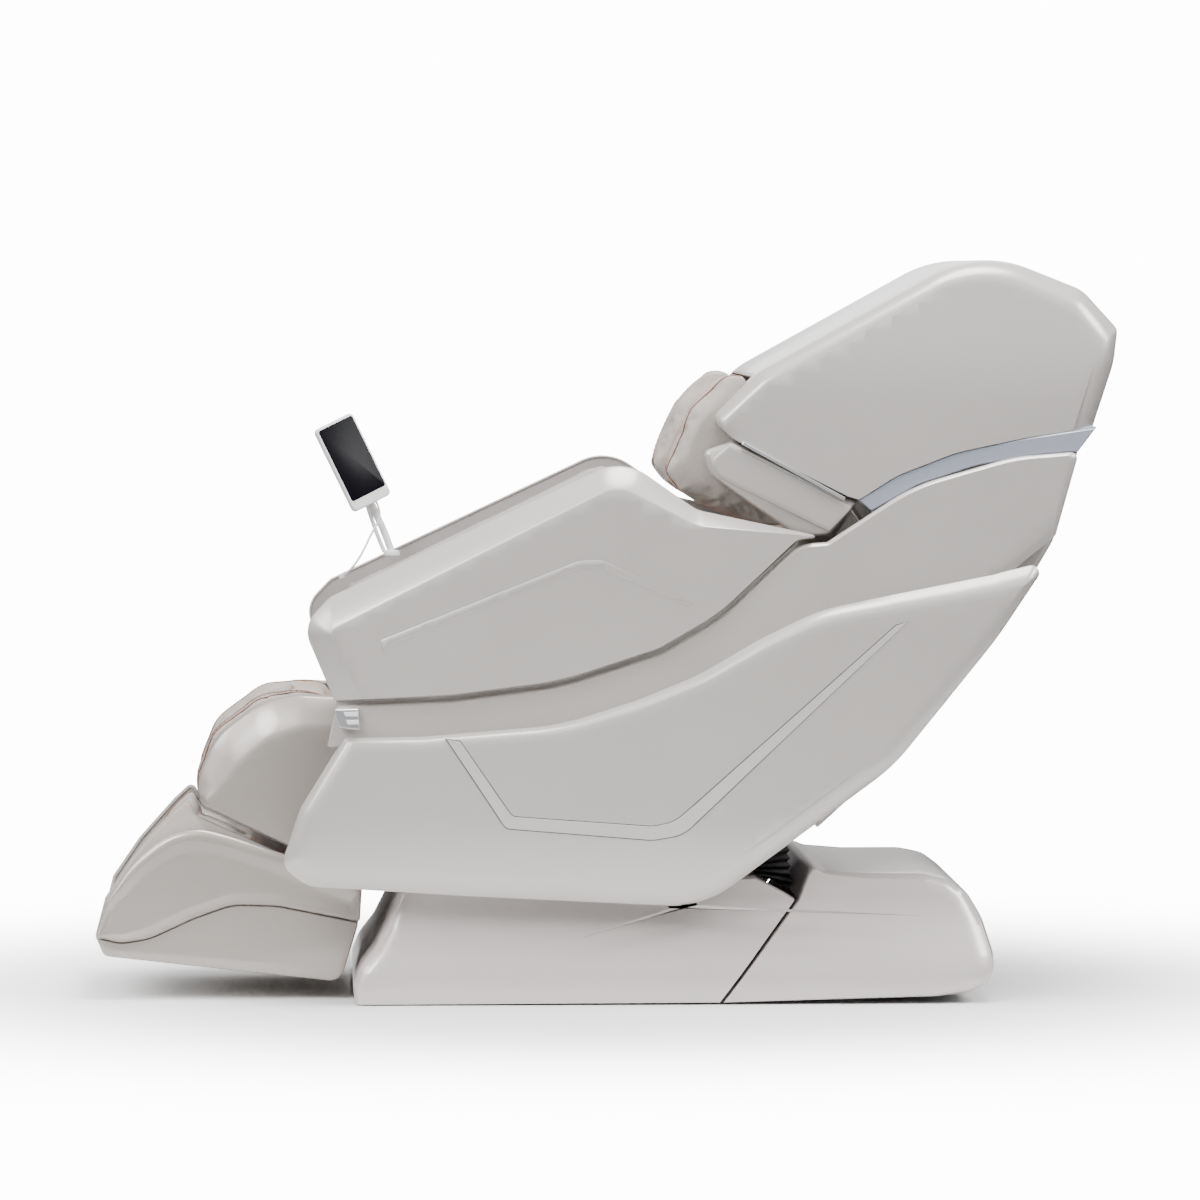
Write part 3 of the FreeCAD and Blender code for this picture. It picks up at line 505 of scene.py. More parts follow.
RIDGE = [(-413, 425, 10), (-294, 427, 200), (-75, 445, 400), (50, 485, 400), (144, 524, 300), (238, 579, 300),
         (332, 625, 300), (457, 650, 300), (613, 681, 300)]
SHELL_BOTTOM = [(699, 722, 14), (613, 579, 700), (450, 378, 300), (150, 155, 160), (-216, 174, 500),
                (-470, 190, 60), (-512, 222, 28), (-482, 313, 60)]
SHELL_TOP = [(-424, 475, 8), (-247, 482, 200), (-75, 504, 500), (81, 555, 60), (175, 610, 300),
             (300, 727, 60), (345, 730, 5), (480, 818, 300), (640, 864, 300), (742, 872, 10)]
ARM = [(-478, 600, 45), (-428, 482, 6), (-247, 489, 200), (-75, 511, 500), (81, 562, 60), (175, 617, 300),
       (300, 733, 40), (345, 737, 4), (140, 781, 60), (25, 862, 80), (-435, 645, 30)]
ARM_FACE = [(-438, 589, 8), (-386, 486, 4), (-247, 492.5, 200), (-75, 514.5, 500), (81, 565.5, 60),
            (175, 620.5, 300), (298, 735.5, 20), (333, 738.6, 2), (140, 758, 60), (15, 822, 60),
            (-430, 599, 6)]
STRIP = [(-252, 422, 0), (-232, 420, 4), (-150, 301, 14), (70, 285, 60), (105, 292, 60), (452, 600, 0),
         (470, 606, 0), (118, 272, 60), (70, 264, 60), (-160, 283, 14)]


# ---------------------------------------------------------------- operators

WHITE = 14.0
SIDE_LIGHT, TOP_LIGHT = 0.42, 1.1
FADE_START, FADE_END = 0.5, 2.2
SENSOR_WIDTH = 36.0
CAMERA_DISTANCE, CAMERA_HEIGHT = 12.0, 1.15
CAMERA_TURN = math.radians(2.0)
CAMERA_AIM = (-0.0125, 0.641)
VIEW_BREADTH = 1.876
# name, place, aim, breadth in metres, power in watts
LAMPS = (
    ("key", (3.4, -2.2, 3.0), (0.0, 0.0, 0.6), 1.6, 130),
    ("top", (0.9, 0.4, 4.0), (0.0, 0.1, 0.5), 2.2, 200),
    ("rear_rim", (1.6, 3.0, 2.6), (0.3, 0.4, 0.7), 1.4, 90),
    ("front_high", (1.4, -3.2, 2.4), (0.2, -0.5, 0.3), 1.4, 60),
    ("far_fill", (-4.0, 0.5, 2.6), (0.0, 0.0, 0.5), 3.0, 50),
)


class CHAIR_OT_stage(bpy.types.Operator):
    """Pale floor, soft studio lights and the camera"""
    bl_idname = "chair.stage"
    bl_label = "Stage"

    @staticmethod
    def seen_white(tree):
        """White where the camera looks straight at it, and dark to everything else."""
        path = tree.nodes.new("ShaderNodeLightPath")
        return math_node(tree, "MULTIPLY", path.outputs["Is Camera Ray"], WHITE)

    def execute(self, context):
        scene = context.scene
        floor_mesh = bmesh.new()
        bmesh.ops.create_grid(floor_mesh, x_segments=1, y_segments=1, size=40.0)
        material, tree, shader = new_material("pale floor")
        shader.inputs["Base Color"].default_value = (0.9, 0.9, 0.9, 1)
        shader.inputs["Roughness"].default_value = 0.9
        spot = tree.nodes.new("ShaderNodeTexCoord").outputs["Object"]
        far = tree.nodes.new("ShaderNodeVectorMath")
        far.operation = "LENGTH"
        tree.links.new(spot, far.inputs[0])
        fade = tree.nodes.new("ShaderNodeMapRange")
        fade.interpolation_type = "SMOOTHERSTEP"
        fade.inputs["From Min"].default_value = FADE_START
        fade.inputs["From Max"].default_value = FADE_END
        tree.links.new(far.outputs["Value"], fade.inputs["Value"])
        glow = tree.nodes.new("ShaderNodeEmission")
        tree.links.new(self.seen_white(tree), glow.inputs["Strength"])
        blend = tree.nodes.new("ShaderNodeMixShader")
        tree.links.new(fade.outputs["Result"], blend.inputs[0])
        tree.links.new(shader.outputs[0], blend.inputs[1])
        tree.links.new(glow.outputs[0], blend.inputs[2])
        tree.links.new(blend.outputs[0], tree.nodes["Material Output"].inputs["Surface"])
        floor = new_object("floor", floor_mesh, material, smooth=False)
        world = bpy.data.worlds.new("studio")
        world.use_nodes = True
        tree = world.node_tree
        height = tree.nodes.new("ShaderNodeSeparateXYZ")
        tree.links.new(tree.nodes.new("ShaderNodeTexCoord").outputs["Generated"], height.inputs[0])
        sky = tree.nodes.new("ShaderNodeMapRange")
        sky.inputs["From Min"].default_value = 0.0
        sky.inputs["From Max"].default_value = 0.9
        sky.inputs["To Min"].default_value = SIDE_LIGHT
        sky.inputs["To Max"].default_value = TOP_LIGHT
        tree.links.new(height.outputs["Z"], sky.inputs["Value"])
        light = math_node(tree, "ADD", sky.outputs["Result"], self.seen_white(tree))
        tree.nodes["Background"].inputs[0].default_value = (1.0, 1.0, 1.0, 1)
        tree.links.new(light, tree.nodes["Background"].inputs[1])
        scene.world = world
        for name, spot, aim, breadth, power in LAMPS:
            light = bpy.data.lights.new(name, "AREA")
            light.shape = "DISK"
            light.size = breadth
            light.energy = power
            lamp = add_object(name, light)
            lamp.location = spot
            lamp.rotation_euler = (Vector(aim) - Vector(spot)).to_track_quat("-Z", "Y").to_euler()
        camera = bpy.data.cameras.new("camera")
        camera.sensor_width = SENSOR_WIDTH
        distance, height = CAMERA_DISTANCE, CAMERA_HEIGHT
        aim = Vector((HALF_WIDTH, *CAMERA_AIM))
        turn = CAMERA_TURN
        spot = aim + Vector((distance * math.cos(turn), -distance * math.sin(turn), height - aim.z))
        camera.lens = SENSOR_WIDTH * distance / VIEW_BREADTH
        camera.clip_end = 100.0
        viewer = add_object("camera", camera)
        viewer.location = spot
        viewer.rotation_euler = (aim - spot).to_track_quat("-Z", "Y").to_euler()
        scene.camera = viewer
        return {"FINISHED"}


def side_sink(y, z):
    """The side shell curves in towards its bottom and its rear edge."""
    low = max(0.33 - z, 0.0) / 0.17
    rear = smoothstep(0.30, 0.72, y)
    return 0.020 * low * low + 0.006 * rear * rear


class CHAIR_OT_side_shells(bpy.types.Operator):
    """Upper and lower side mouldings with the ridge between them, and the light strip"""
    bl_idname = "chair.side_shells"
    bl_label = "Side shells"

    def execute(self, context):
        rise = sizes().ridge_height
        ridge_widths = [7, 9, 10, 11, 12, 14, 16, 20, 24]
        bottom_widths = [10, 12, 20, 24, 24, 22, 16, 12]
        lower = RIDGE[:-1] + [(613, 681, 200), (694, 700, 12)] + SHELL_BOTTOM[1:]
        lower_widths = ridge_widths + [10] + bottom_widths[1:]
        top = len(SHELL_TOP)
        upper = SHELL_TOP + [
            (705, 740, 10), (600, 655, 300), (457, 630, 300), (332, 605, 300), (238, 559, 300),
            (144, 504, 300), (50, 465, 400), (-75, 425, 400), (-294, 409, 200), (-440, 409, 4)]
        upper_widths = [5] * (top - 1) + [10, 14] + [2] * (len(upper) - top - 1)

        def make(hand, side):
            face = HALF_WIDTH
            base = SHELL_INNER
            pearl = finish("pearl shell")
            lower_piece = panel(
                f"side_shell_lower_{hand}", lower,
                [(0.0, face - rise - 0.002), ([w * 0.5 for w in lower_widths], face - rise * 0.42),
                 (lower_widths, face - 0.0022), ([w + 6 for w in lower_widths], face - 0.0004),
                 ([w + 14 for w in lower_widths], face)],
                pearl, base, side_sink, side=side)
            upper_piece = panel(
                f"side_shell_upper_{hand}", upper,
                [(0.0, face - rise - 0.006), ([w * 0.4 for w in upper_widths], face - rise - 0.0025),
                 (upper_widths, face - rise)],
                pearl, base, lambda y, z: 0.006 * smoothstep(0.30, 0.72, y), side=side)
            for piece in (lower_piece, upper_piece):
                thicken(piece)
                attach(piece, "seat")
                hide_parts(f"side_shell_{hand}")
            backing = panel(f"arm_groove_{hand}", SHELL_TOP[:6] + ARM[6:0:-1], [(0.0, face - 0.027)],
                            finish("pearl shell"), base, side=side)
            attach(backing, "seat")
            strip_base = face - 0.012
            # Painted shade: a flat near-black sheet, 1.6 mm wider than the light strip and flush with the
            # shell, stands for the shadowed gap round the strip.
            shade_sheet = panel(f"strip_groove_{hand}", inset(STRIP, -1.6), [(0.0, face + 0.00015)],
                           finish("painted gap shade"), strip_base, side_sink, side=side)
            strip = panel(f"light_strip_{hand}", STRIP, [(0.0, face + 0.0002), (0.5, face + 0.0006)],
                          finish("light strip"), strip_base, side_sink, side=side)
            for piece in (shade_sheet, strip):
                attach(piece, "seat")

        both_sides(make)
        return {"FINISHED"}


class CHAIR_OT_arm_panels(bpy.types.Operator):
    """Facetted arm panels and the bright vents on their front"""
    bl_idname = "chair.arm_panels"
    bl_label = "Arm panels"

    def execute(self, context):
        channel = [(-350, 548, 4), (-358, 578, 6), (-46, 703, 30), (-12, 705, 30), (140, 636, 2),
                   (128, 630, 2), (-14, 690, 30), (-44, 689, 30), (-340, 569, 4)]
        vent = [(-420, 442, 2), (-389, 438, 2), (-391, 471, 2), (-428, 470, 2)]
        bars = ([(-411, 459), (-391, 459.5), (-391.5, 466.5), (-413.5, 466)],
                [(-407, 446.5), (-390, 447), (-390.5, 454), (-409.5, 453.5)])

        def sink(y, z):
            return 0.010 * smoothstep(0.0, 0.34, y) * smoothstep(0.0, 0.34, y)

        def make(hand, side):
            face = HALF_WIDTH - 0.004
            piece = panel(
                f"arm_panel_{hand}", ARM,
                [(0.0, face - 0.024), (between(ARM, ARM_FACE, 0.06), face - 0.0200),
                 (between(ARM, ARM_FACE, 0.92), face - 0.0030), (ARM_FACE, face - 0.0012),
                 (between(ARM, ARM_FACE, 1.08), face)],
                finish("pearl shell"), SHELL_INNER, sink, side=side)
            thicken(piece)
            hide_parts(f"arm_panel_{hand}")
            relief = panel(f"arm_relief_{hand}", channel, [(0.0, face - 0.0006), (2.0, face + 0.0007)],
                           finish("pearl shell"), face - 0.004, sink, side=side)
            frame_piece = panel(f"arm_vent_{hand}", vent, [(0.0, HALF_WIDTH - 0.0012), (1.2, HALF_WIDTH)],
                                finish("bright trim"), HALF_WIDTH - 0.025, side=side)
            if side > 0:
                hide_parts("arm_vents")
            lining = thicken(panel(f"arm_lining_{hand}", inset(ARM, 1.2), [(0.0, SHELL_INNER + 0.0030)],
                                   finish("arm lining"), SHELL_INNER + 0.0005, side=side), 0.002)
            pieces = [piece, relief, frame_piece, lining]
            for number, bar in enumerate(bars, start=1):
                slat = panel(f"arm_vent_bar_{hand}_{number}", bar,
                             [(0.0, HALF_WIDTH + 0.0009), (0.5, HALF_WIDTH + 0.0014)],
                             finish("white plastic"), HALF_WIDTH - 0.004, side=side)
                pieces.append(slat)
            for item in pieces:
                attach(item, "seat")

        both_sides(make)
        return {"FINISHED"}


HOOD = [(164, 924, 16), (240, 999, 100), (588, 1192, 190), (754, 1126, 60), (810, 1064, 15),
        (803, 1010, 150), (769, 907.5, 2), (660, 891.5, 200), (550, 868.5, 200), (457, 832.5, 100),
        (397, 794.5, 4), (378, 800, 20), (199, 890, 40)]
BAND = [(397, 794, 0), (457, 832, 100), (550, 868, 200), (660, 891, 200), (769, 907, 0),
        (744, 874, 0), (675, 868, 200), (582, 852, 200), (488, 821, 100), (414, 779, 0)]
REAR_COVER = [(414, 778.5, 0), (488, 820.5, 100), (582, 851.5, 200), (675, 867.5, 200), (743, 873, 0),
              (704, 731, 60), (615, 579, 0), (560, 625, 20), (470, 700, 40)]
WING = [(152, 872, 10), (197, 888, 0), (376, 798, 0), (394, 791, 0), (350, 740, 12), (300, 737, 20),
        (162, 836, 30)]


SIDES_START = 0.2


def casing(name, corners, levels, open_edges, material, sink=None, step=None):
    """A casing across the whole chair: two side caps, joined by a wall along every edge that isn't open.

    levels are (inset mm, x) from the joined middle outwards.
    """
    bm = bmesh.new()
    counts = []
    loops = []
    for distance, x in levels:
        points = rounded(inset(corners, distance), counts)
        loops.append([ring(bm, points, side * x) for side in (1, -1)])
    walls = []
    for i, pieces in enumerate(counts):
        before_open = (i - 1) % len(counts) in open_edges
        walls.extend([not (before_open and i in open_edges)] * pieces)
        walls.append(i not in open_edges)
    left, right = loops[0]
    for i, built in enumerate(walls):
        if built:
            j = (i + 1) % len(left)
            bm.faces.new((left[i], left[j], right[j], right[i]))
    for first, second in zip(loops, loops[1:]):
        for a, b in zip(first, second):
            join_rings(bm, a, b)
    for loop in loops[-1]:
        bm.faces.new(loop)
    bmesh.ops.remove_doubles(bm, verts=bm.verts, dist=1e-5)
    if sink is not None:
        for cap in sorted(bm.faces, key=lambda f: len(f.verts))[-2:]:
            slice_cap(bm, [cap], step or sizes().slice_width)
        for vert in bm.verts:
            if abs(vert.co.x) > SIDES_START:
                vert.co.x -= math.copysign(sink(vert.co.y, vert.co.z), vert.co.x)
    bmesh.ops.recalc_face_normals(bm, faces=bm.faces)
    outer = max(bm.faces, key=lambda f: f.calc_center_median().x)
    if outer.normal.x < 0:
        bmesh.ops.reverse_faces(bm, faces=bm.faces)
    return new_object(name, bm, material)


def hood_sink(y, z):
    """The hood's sides bulge, most at the middle, and lean in towards the top."""
    return 0.014 * ((y - 0.50) / 0.35) ** 2 + 0.022 * smoothstep(0.96, 1.20, z)


class CHAIR_OT_hood(bpy.types.Operator):
    """Hood, blue-grey band, rear cover and shoulder wings"""
    bl_idname = "chair.hood"
    bl_label = "Hood and rear covers"

    def execute(self, context):
        soft = [18, 26, 34, 40, 30, 30] + [2] * 7

        def part(share):
            return [w * share for w in soft]

        hood = casing("hood", HOOD, [
            (0.0, HOOD_HALF - 0.050), (part(0.06), HOOD_HALF - 0.030), (part(0.22), HOOD_HALF - 0.0150),
            (part(0.5), HOOD_HALF - 0.0055), (part(0.8), HOOD_HALF - 0.0012), (part(1.1), HOOD_HALF)],
            {0, 6, 7, 8, 9, 10, 11, 12}, finish("pearl shell"), hood_sink)
        thicken(hood)
        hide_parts("hood_shell")
        band = casing("hood_band", inset(BAND, [-2.5] * 4 + [0] + [-2.5] * 4 + [0]),
                      [(0.0, BAND_HALF - 0.004), (1.5, BAND_HALF - 0.001), (2.5, BAND_HALF)],
                      {0, 1, 2, 3, 5, 6, 7, 8, 9}, finish("hood band"))
        thicken(band)
        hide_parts("hood_band")
        cover = casing("rear_upper_cover", REAR_COVER,
                       [(0.0, BAND_HALF - 0.016), (3.0, BAND_HALF - 0.006), (9.0, BAND_HALF)],
                       {0, 1, 2, 3, 6, 7, 8}, finish("pearl shell"))
        thicken(cover)
        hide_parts("rear_upper_cover")
        for piece, slot in ((hood, "pearl_shell"), (band, "blue_grey_trim"), (cover, "pearl_shell")):
            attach(piece, "backrest")
        plate = [(161, 857, 18), (192, 884, 8), (388, 785, 4), (350, 745, 4), (174, 832, 16)]
        line = [(214, 887.5), (375, 799.5), (372.5, 795.5), (212, 883.5)]

        def wing(hand, side):
            outer = HOOD_HALF - 0.006
            body = panel(f"shoulder_wing_{hand}", WING,
                         [(0.0, outer - 0.012), (3.0, outer - 0.0055), (8.0, outer - 0.003)],
                         finish("pearl shell"), outer - 0.030, side=side)
            thicken(body)
            raised = panel(f"wing_plate_{hand}", plate,
                           [(0.0, outer - 0.0035), (1.5, outer - 0.001), (4.0, outer), (7.0, outer)],
                           finish("pearl shell"), outer - 0.008, side=side)
            trim = panel(f"wing_trim_{hand}", line, [(0.0, HOOD_HALF + 0.0005), (0.8, HOOD_HALF + 0.0012)],
                         finish("bright trim"), outer - 0.004, side=side)
            if side > 0:
                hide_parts("shoulder_wings")
            for item, slot in ((body, "pearl_shell"), (raised, "pearl_shell"), (trim, "bright_trim")):
                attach(item, "backrest")

        both_sides(wing)
        return {"FINISHED"}


FRONT_COVER = [(-396, 1, 0), (-400, 31, 20), (-388, 62, 60), (-364, 94, 60), (-349, 125, 60),
               (-325, 178, 12), (235, 199, 8), (301, 163, 4), (179, 3, 0)]
REAR_BASE = [(183, 3, 0), (305, 163, 4), (324, 217, 10), (347, 208, 20), (410, 203, 0), (505, 203, 80),
             (543, 195, 40), (574, 172, 50), (597, 133, 80), (613, 78, 40), (614, 55, 20),
             (605, 31, 20), (574, 16, 30), (519, 11, 0)]
BASE_HALF, SKIRT_HALF = 0.300, 0.345


def base_flare(z):
    """Half width of the base at a height: a wide skirt, a soft shoulder and a narrower top."""
    return SKIRT_HALF + (BASE_HALF - SKIRT_HALF) * smoothstep(0.030, 0.175, z)


def base_cover(name, corners, open_edges, soft, material):
    """A base cover whose sides follow the flare, with rounded edges."""
    drops = ((0.0, 0.030), (0.12, 0.012), (0.45, 0.003), (1.0, 0.0))
    levels = [([w * share for w in soft], SKIRT_HALF - drop) for share, drop in drops]
    return thicken(casing(name, corners, levels, open_edges, material,
                          lambda y, z: SKIRT_HALF - base_flare(z), 0.012))


class CHAIR_OT_base(bpy.types.Operator):
    """Front and rear base covers with their flared skirts"""
    bl_idname = "chair.base"
    bl_label = "Base covers"

    def execute(self, context):
        front_soft = [16, 18, 20, 20, 20, 4, 2, 1, 1]
        rear_soft = [1, 4, 8, 14, 22, 26, 30, 34, 34, 34, 30, 22, 8, 1]
        front = base_cover("base_front_cover", FRONT_COVER, {5, 6, 7, 8}, front_soft, finish("base pearl"))
        rear = base_cover("base_rear_cover", REAR_BASE, {0, 12, 13}, rear_soft, finish("base pearl"))
        for piece, node in ((front, "base_front_cover"), (rear, "base_rear_cover")):
            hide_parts(node)
            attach(piece, "base")
        return {"FINISHED"}


CALF = [(-420, 482, 16), (-482, 486, 110), (-544, 475, 110), (-615, 422, 110), (-643, 360, 90),
        (-646, 328, 20), (-636, 303, 10), (-497, 240, 20), (-398, 217, 10), (-374, 300, 60),
        (-372, 410, 25), (-372, 462, 20)]
CALF_FACE = [(-420, 437, 10), (-478, 436, 80), (-532, 419, 80), (-583, 375, 80), (-616, 335, 60),
             (-633, 318, 16), (-630, 307, 8), (-497, 245, 20), (-402, 222, 10), (-380, 300, 60),
             (-378, 402, 20), (-380, 434, 8)]
FOOT = [(-808, 101, 10), (-794, 70, 14), (-419, 28, 22), (-391, 117, 60), (-386, 184, 16),
        (-503, 227, 30), (-648, 294, 8), (-661, 319, 10), (-692, 290, 40), (-749, 226, 60), (-792, 163, 12)]
FOOT_PANEL = [(-790, 158, 10), (-808, 101, 6), (-768, 91, 50), (-722, 98, 90), (-650, 131, 90),
              (-590, 152, 90), (-520, 150, 120), (-388, 124, 4), (-384, 184, 16), (-513, 233, 200),
              (-591, 259, 240), (-645, 273, 160), (-694, 262, 150), (-748, 218, 200)]
FOOT_SOLE = [(-806, 99, 6), (-794, 70, 14), (-419, 28, 22), (-391, 122.5, 4), (-520, 148.8, 120),
             (-590, 150.8, 90), (-650, 129.8, 90), (-722, 96.8, 90), (-768, 89.8, 50)]


class CHAIR_OT_dust_boot(bpy.types.Operator):
    """Folded rubber boot between the base and the seat shell"""
    bl_idname = "chair.dust_boot"
    bl_label = "Dust boot"

    def execute(self, context):
        bm = bmesh.new()
        low_front, low_rear = Vector((250, 186)), Vector((303, 170))
        high_front, high_rear = Vector((222, 226)), Vector((296, 260))
        folds = 7
        loops = []
        for k in range(folds * 2 + 1):
            share = k / (folds * 2)
            out = 3.0 if k % 2 else -2.0
            front = low_front.lerp(high_front, share) + Vector((-out, 0))
            rear = low_rear.lerp(high_rear, share) + Vector((out, 0))
            half = 0.120 + out * MM
            corners = [(-half, front), (half, front), (half, rear), (-half, rear)]
            loops.append([bm.verts.new((x, spot.x * MM, spot.y * MM)) for x, spot in corners])
        for first, second in zip(loops, loops[1:]):
            join_rings(bm, first, second)
        bm.faces.new(loops[-1])
        bmesh.ops.recalc_face_normals(bm, faces=bm.faces)
        bmesh.ops.bevel(bm, geom=list(bm.edges), offset=0.0012, affect="EDGES", segments=2, profile=0.5,
                        material=-1)
        boot = new_object("dust_boot", bm, finish("black rubber"), angle=50.0)
        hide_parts("dust_boot")
        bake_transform(boot)
        return {"FINISHED"}


class CHAIR_OT_leg_shells(bpy.types.Operator):
    """Calf rest shell, foot rest shell and its raised lower moulding"""
    bl_idname = "chair.leg_shells"
    bl_label = "Leg shells"

    def execute(self, context):
        leg = finish("leg pearl")
        calf = casing("calf_shell", CALF, [
            (0.0, CALF_HALF - 0.022), (between(CALF, CALF_FACE, 0.12), CALF_HALF - 0.0165),
            (between(CALF, CALF_FACE, 0.90), CALF_HALF - 0.0024), (CALF_FACE, CALF_HALF - 0.0008),
            (between(CALF, CALF_FACE, 1.15), CALF_HALF)],
            {0, 1, 2, 3, 4, 5, 6, 7}, leg, lambda y, z: 0.006 * smoothstep(-0.50, -0.66, y), 0.015)
        thicken(calf, 0.006)
        foot = casing("foot_shell", FOOT,
                      [(0.0, FOOT_HALF - 0.020), (2.0, FOOT_HALF - 0.0165), (4.0, FOOT_HALF - 0.0155)],
                      {4, 5, 6, 7, 8, 9, 10}, finish("taupe leather"))
        thicken(foot, 0.006)
        for piece, node, body in ((calf, "calf_shell", "calf_rest"), (foot, "foot_shell", "foot_rest")):
            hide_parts(node)
            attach(piece, body)
        lip = [4, 4, 9, 9, 9, 9, 9, 8, 16, 16, 18, 18, 16, 10]

        def moulding(hand, side):
            upper = panel(f"foot_panel_{hand}", FOOT_PANEL, [
                (0.0, FOOT_HALF - 0.005), ([w * 0.15 for w in lip], FOOT_HALF - 0.0022),
                ([w * 0.5 for w in lip], FOOT_HALF), (lip, FOOT_HALF - 0.0004),
                ([w * 1.8 for w in lip], FOOT_HALF - 0.0032), ([w * 2.4 for w in lip], FOOT_HALF - 0.0038)],
                leg, FOOT_HALF - 0.018, lambda y, z: 0.004 * smoothstep(0.16, 0.27, z), 0.016, side)
            sole = panel(f"foot_sole_{hand}", FOOT_SOLE, [
                (0.0, FOOT_HALF - 0.009), (1.5, FOOT_HALF - 0.0065), (5.0, FOOT_HALF - 0.0055)],
                leg, FOOT_HALF - 0.018, side=side)
            for piece in (upper, sole):
                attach(piece, "foot_rest")

        both_sides(moulding)
        return {"FINISHED"}


# ---------------------------------------------------------------- padded pieces

def copy_of(name):
    """The solid of the node with this name, as one welded mesh."""
    bm = bmesh.new()
    bm.from_mesh(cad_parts[name].data)
    bmesh.ops.remove_doubles(bm, verts=bm.verts, dist=1e-5)
    bmesh.ops.recalc_face_normals(bm, faces=bm.faces)
    mesh = bpy.data.meshes.new(name)
    bm.to_mesh(mesh)
    bm.free()
    return add_object(name, mesh)


def take_shape(piece):
    """Make what the modifiers give the piece's own mesh."""
    bpy.context.view_layer.update()
    shape = bpy.data.meshes.new_from_object(piece.evaluated_get(bpy.context.evaluated_depsgraph_get()))
    old = piece.data
    piece.modifiers.clear()
    piece.data = shape
    bpy.data.meshes.remove(old)


def soften(piece, rounds, shrink=0.0):
    """Round the edges of a pad, and draw it in a little so that it can swell."""
    bm = bmesh.new()
    bm.from_mesh(piece.data)
    for _ in range(rounds):
        bmesh.ops.smooth_vert(bm, verts=bm.verts, factor=0.5, use_axis_x=True, use_axis_y=True,
                              use_axis_z=True)
    bm.normal_update()
    for vert in bm.verts:
        vert.co -= vert.normal * shrink
    bm.to_mesh(piece.data)
    bm.free()


SWELL_FRAMES = 16
PRESSURE = 4.0


def swell(piece, pressure, most):
    """Puff the pad by cloth simulation; no point moves further than most."""
    scene = bpy.context.scene
    rest = [vert.co.copy() for vert in piece.data.vertices]
    cloth = piece.modifiers.new("Cloth", "CLOTH")
    cloth.settings.quality = 5
    cloth.settings.mass = 0.3
    cloth.settings.tension_stiffness = 25
    cloth.settings.compression_stiffness = 25
    cloth.settings.bending_stiffness = 1.5
    cloth.settings.use_pressure = True
    cloth.settings.uniform_pressure_force = pressure
    cloth.settings.effector_weights.gravity = 0.0
    cloth.collision_settings.use_collision = False
    cloth.point_cache.frame_start = 1
    cloth.point_cache.frame_end = SWELL_FRAMES
    for number in range(1, SWELL_FRAMES + 1):
        scene.frame_set(number)
    shape = piece.evaluated_get(bpy.context.evaluated_depsgraph_get()).to_mesh()
    moved = [vert.co.copy() for vert in shape.vertices]
    piece.evaluated_get(bpy.context.evaluated_depsgraph_get()).to_mesh_clear()
    piece.modifiers.clear()
    for vert, start, goal in zip(piece.data.vertices, rest, moved):
        step = goal - start
        vert.co = start + step * (min(step.length, most) / step.length if step.length > 1e-9 else 0.0)
    scene.frame_set(1)


def seam(piece, distance_to, depth, width):
    """Press a sewn line into the pad where distance_to(point) is near zero."""
    mesh = piece.data
    normals = [vert.normal.copy() for vert in mesh.vertices]
    for vert, normal in zip(mesh.vertices, normals):
        away = abs(distance_to(vert.co)) / width
        if away < 3:
            vert.co -= normal * (depth * math.exp(-away * away))


def padded_piece(name, body, material, voxel=0.006, rounds=4, most=None, seams=()):
    """A pad in the place of the node of its name: rounded, swollen, and pressed in along its seams."""
    piece = copy_of(name)
    remesh = piece.modifiers.new("Remesh", "REMESH")
    remesh.mode = "VOXEL"
    remesh.voxel_size = voxel
    take_shape(piece)
    most = most or sizes().cushion_swell
    soften(piece, rounds, most * 0.45)
    swell(piece, PRESSURE, most)
    for distance_to, depth, width in seams:
        seam(piece, distance_to, depth, width)
    smooth = piece.modifiers.new("Smooth", "SUBSURF")
    smooth.levels = smooth.render_levels = 1
    take_shape(piece)
    piece.data.shade_smooth()
    piece.data.materials.clear()
    piece.data.materials.append(material)
    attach(piece, body)
    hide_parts(name)
    return piece


def tube(name, points, radius, material, order=3, rings=5, caps=True):
    """A round bar along a smooth line of points."""
    curve = bpy.data.curves.new(name, "CURVE")
    curve.dimensions = "3D"
    curve.bevel_depth = radius
    curve.bevel_resolution = rings
    curve.use_fill_caps = caps
    spline = curve.splines.new("NURBS")
    spline.points.add(len(points) - 1)
    for point, spot in zip(spline.points, points):
        point.co = (*spot, 1.0)
    spline.use_endpoint_u = True
    spline.order_u = order
    spline.resolution_u = 12
    curve.materials.append(material)
    return add_object(name, curve)


WELT_RADIUS, WELT_LIFT = 0.0012, 0.0004


def piping(name, pad, route, body):
    """A welt sewn on a pad: a round cord along a route that is dropped onto the pad's surface."""
    tree = BVHTree.FromObject(pad, bpy.context.evaluated_depsgraph_get())
    dropped = []
    for spot in route:
        place, normal, _, _ = tree.find_nearest(Vector(spot))
        dropped.append(place + normal * WELT_LIFT)
    piece = tube(name, dropped, WELT_RADIUS, finish("piping"), order=4, rings=3, caps=False)
    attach(piece, body)
    return piece


STITCH_PITCH = 0.006
STITCH_SIZE = (0.0034, 0.0011, 0.0009)


def stitches(name, pad, route, body):
    """A row of thread stitches along a route that is dropped onto a pad."""
    tree = BVHTree.FromObject(pad, bpy.context.evaluated_depsgraph_get())
    bm = bmesh.new()
    travelled, last = 0.0, None
    for spot in route:
        place, normal, _, _ = tree.find_nearest(Vector(spot))
        if last is not None:
            travelled += (place - last).length
            if travelled >= STITCH_PITCH:
                travelled = 0.0
                way = (place - last).normalized()
                turn = Matrix((way, normal.cross(way), normal)).transposed().to_4x4()
                size = Matrix.Diagonal((*STITCH_SIZE, 1.0))
                bmesh.ops.create_icosphere(bm, subdivisions=1, radius=0.5,
                                           matrix=Matrix.Translation(place + normal * 0.0003) @ turn @ size)
        last = place
    piece = new_object(name, bm, finish("piping"), angle=80.0)
    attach(piece, body)
    return piece


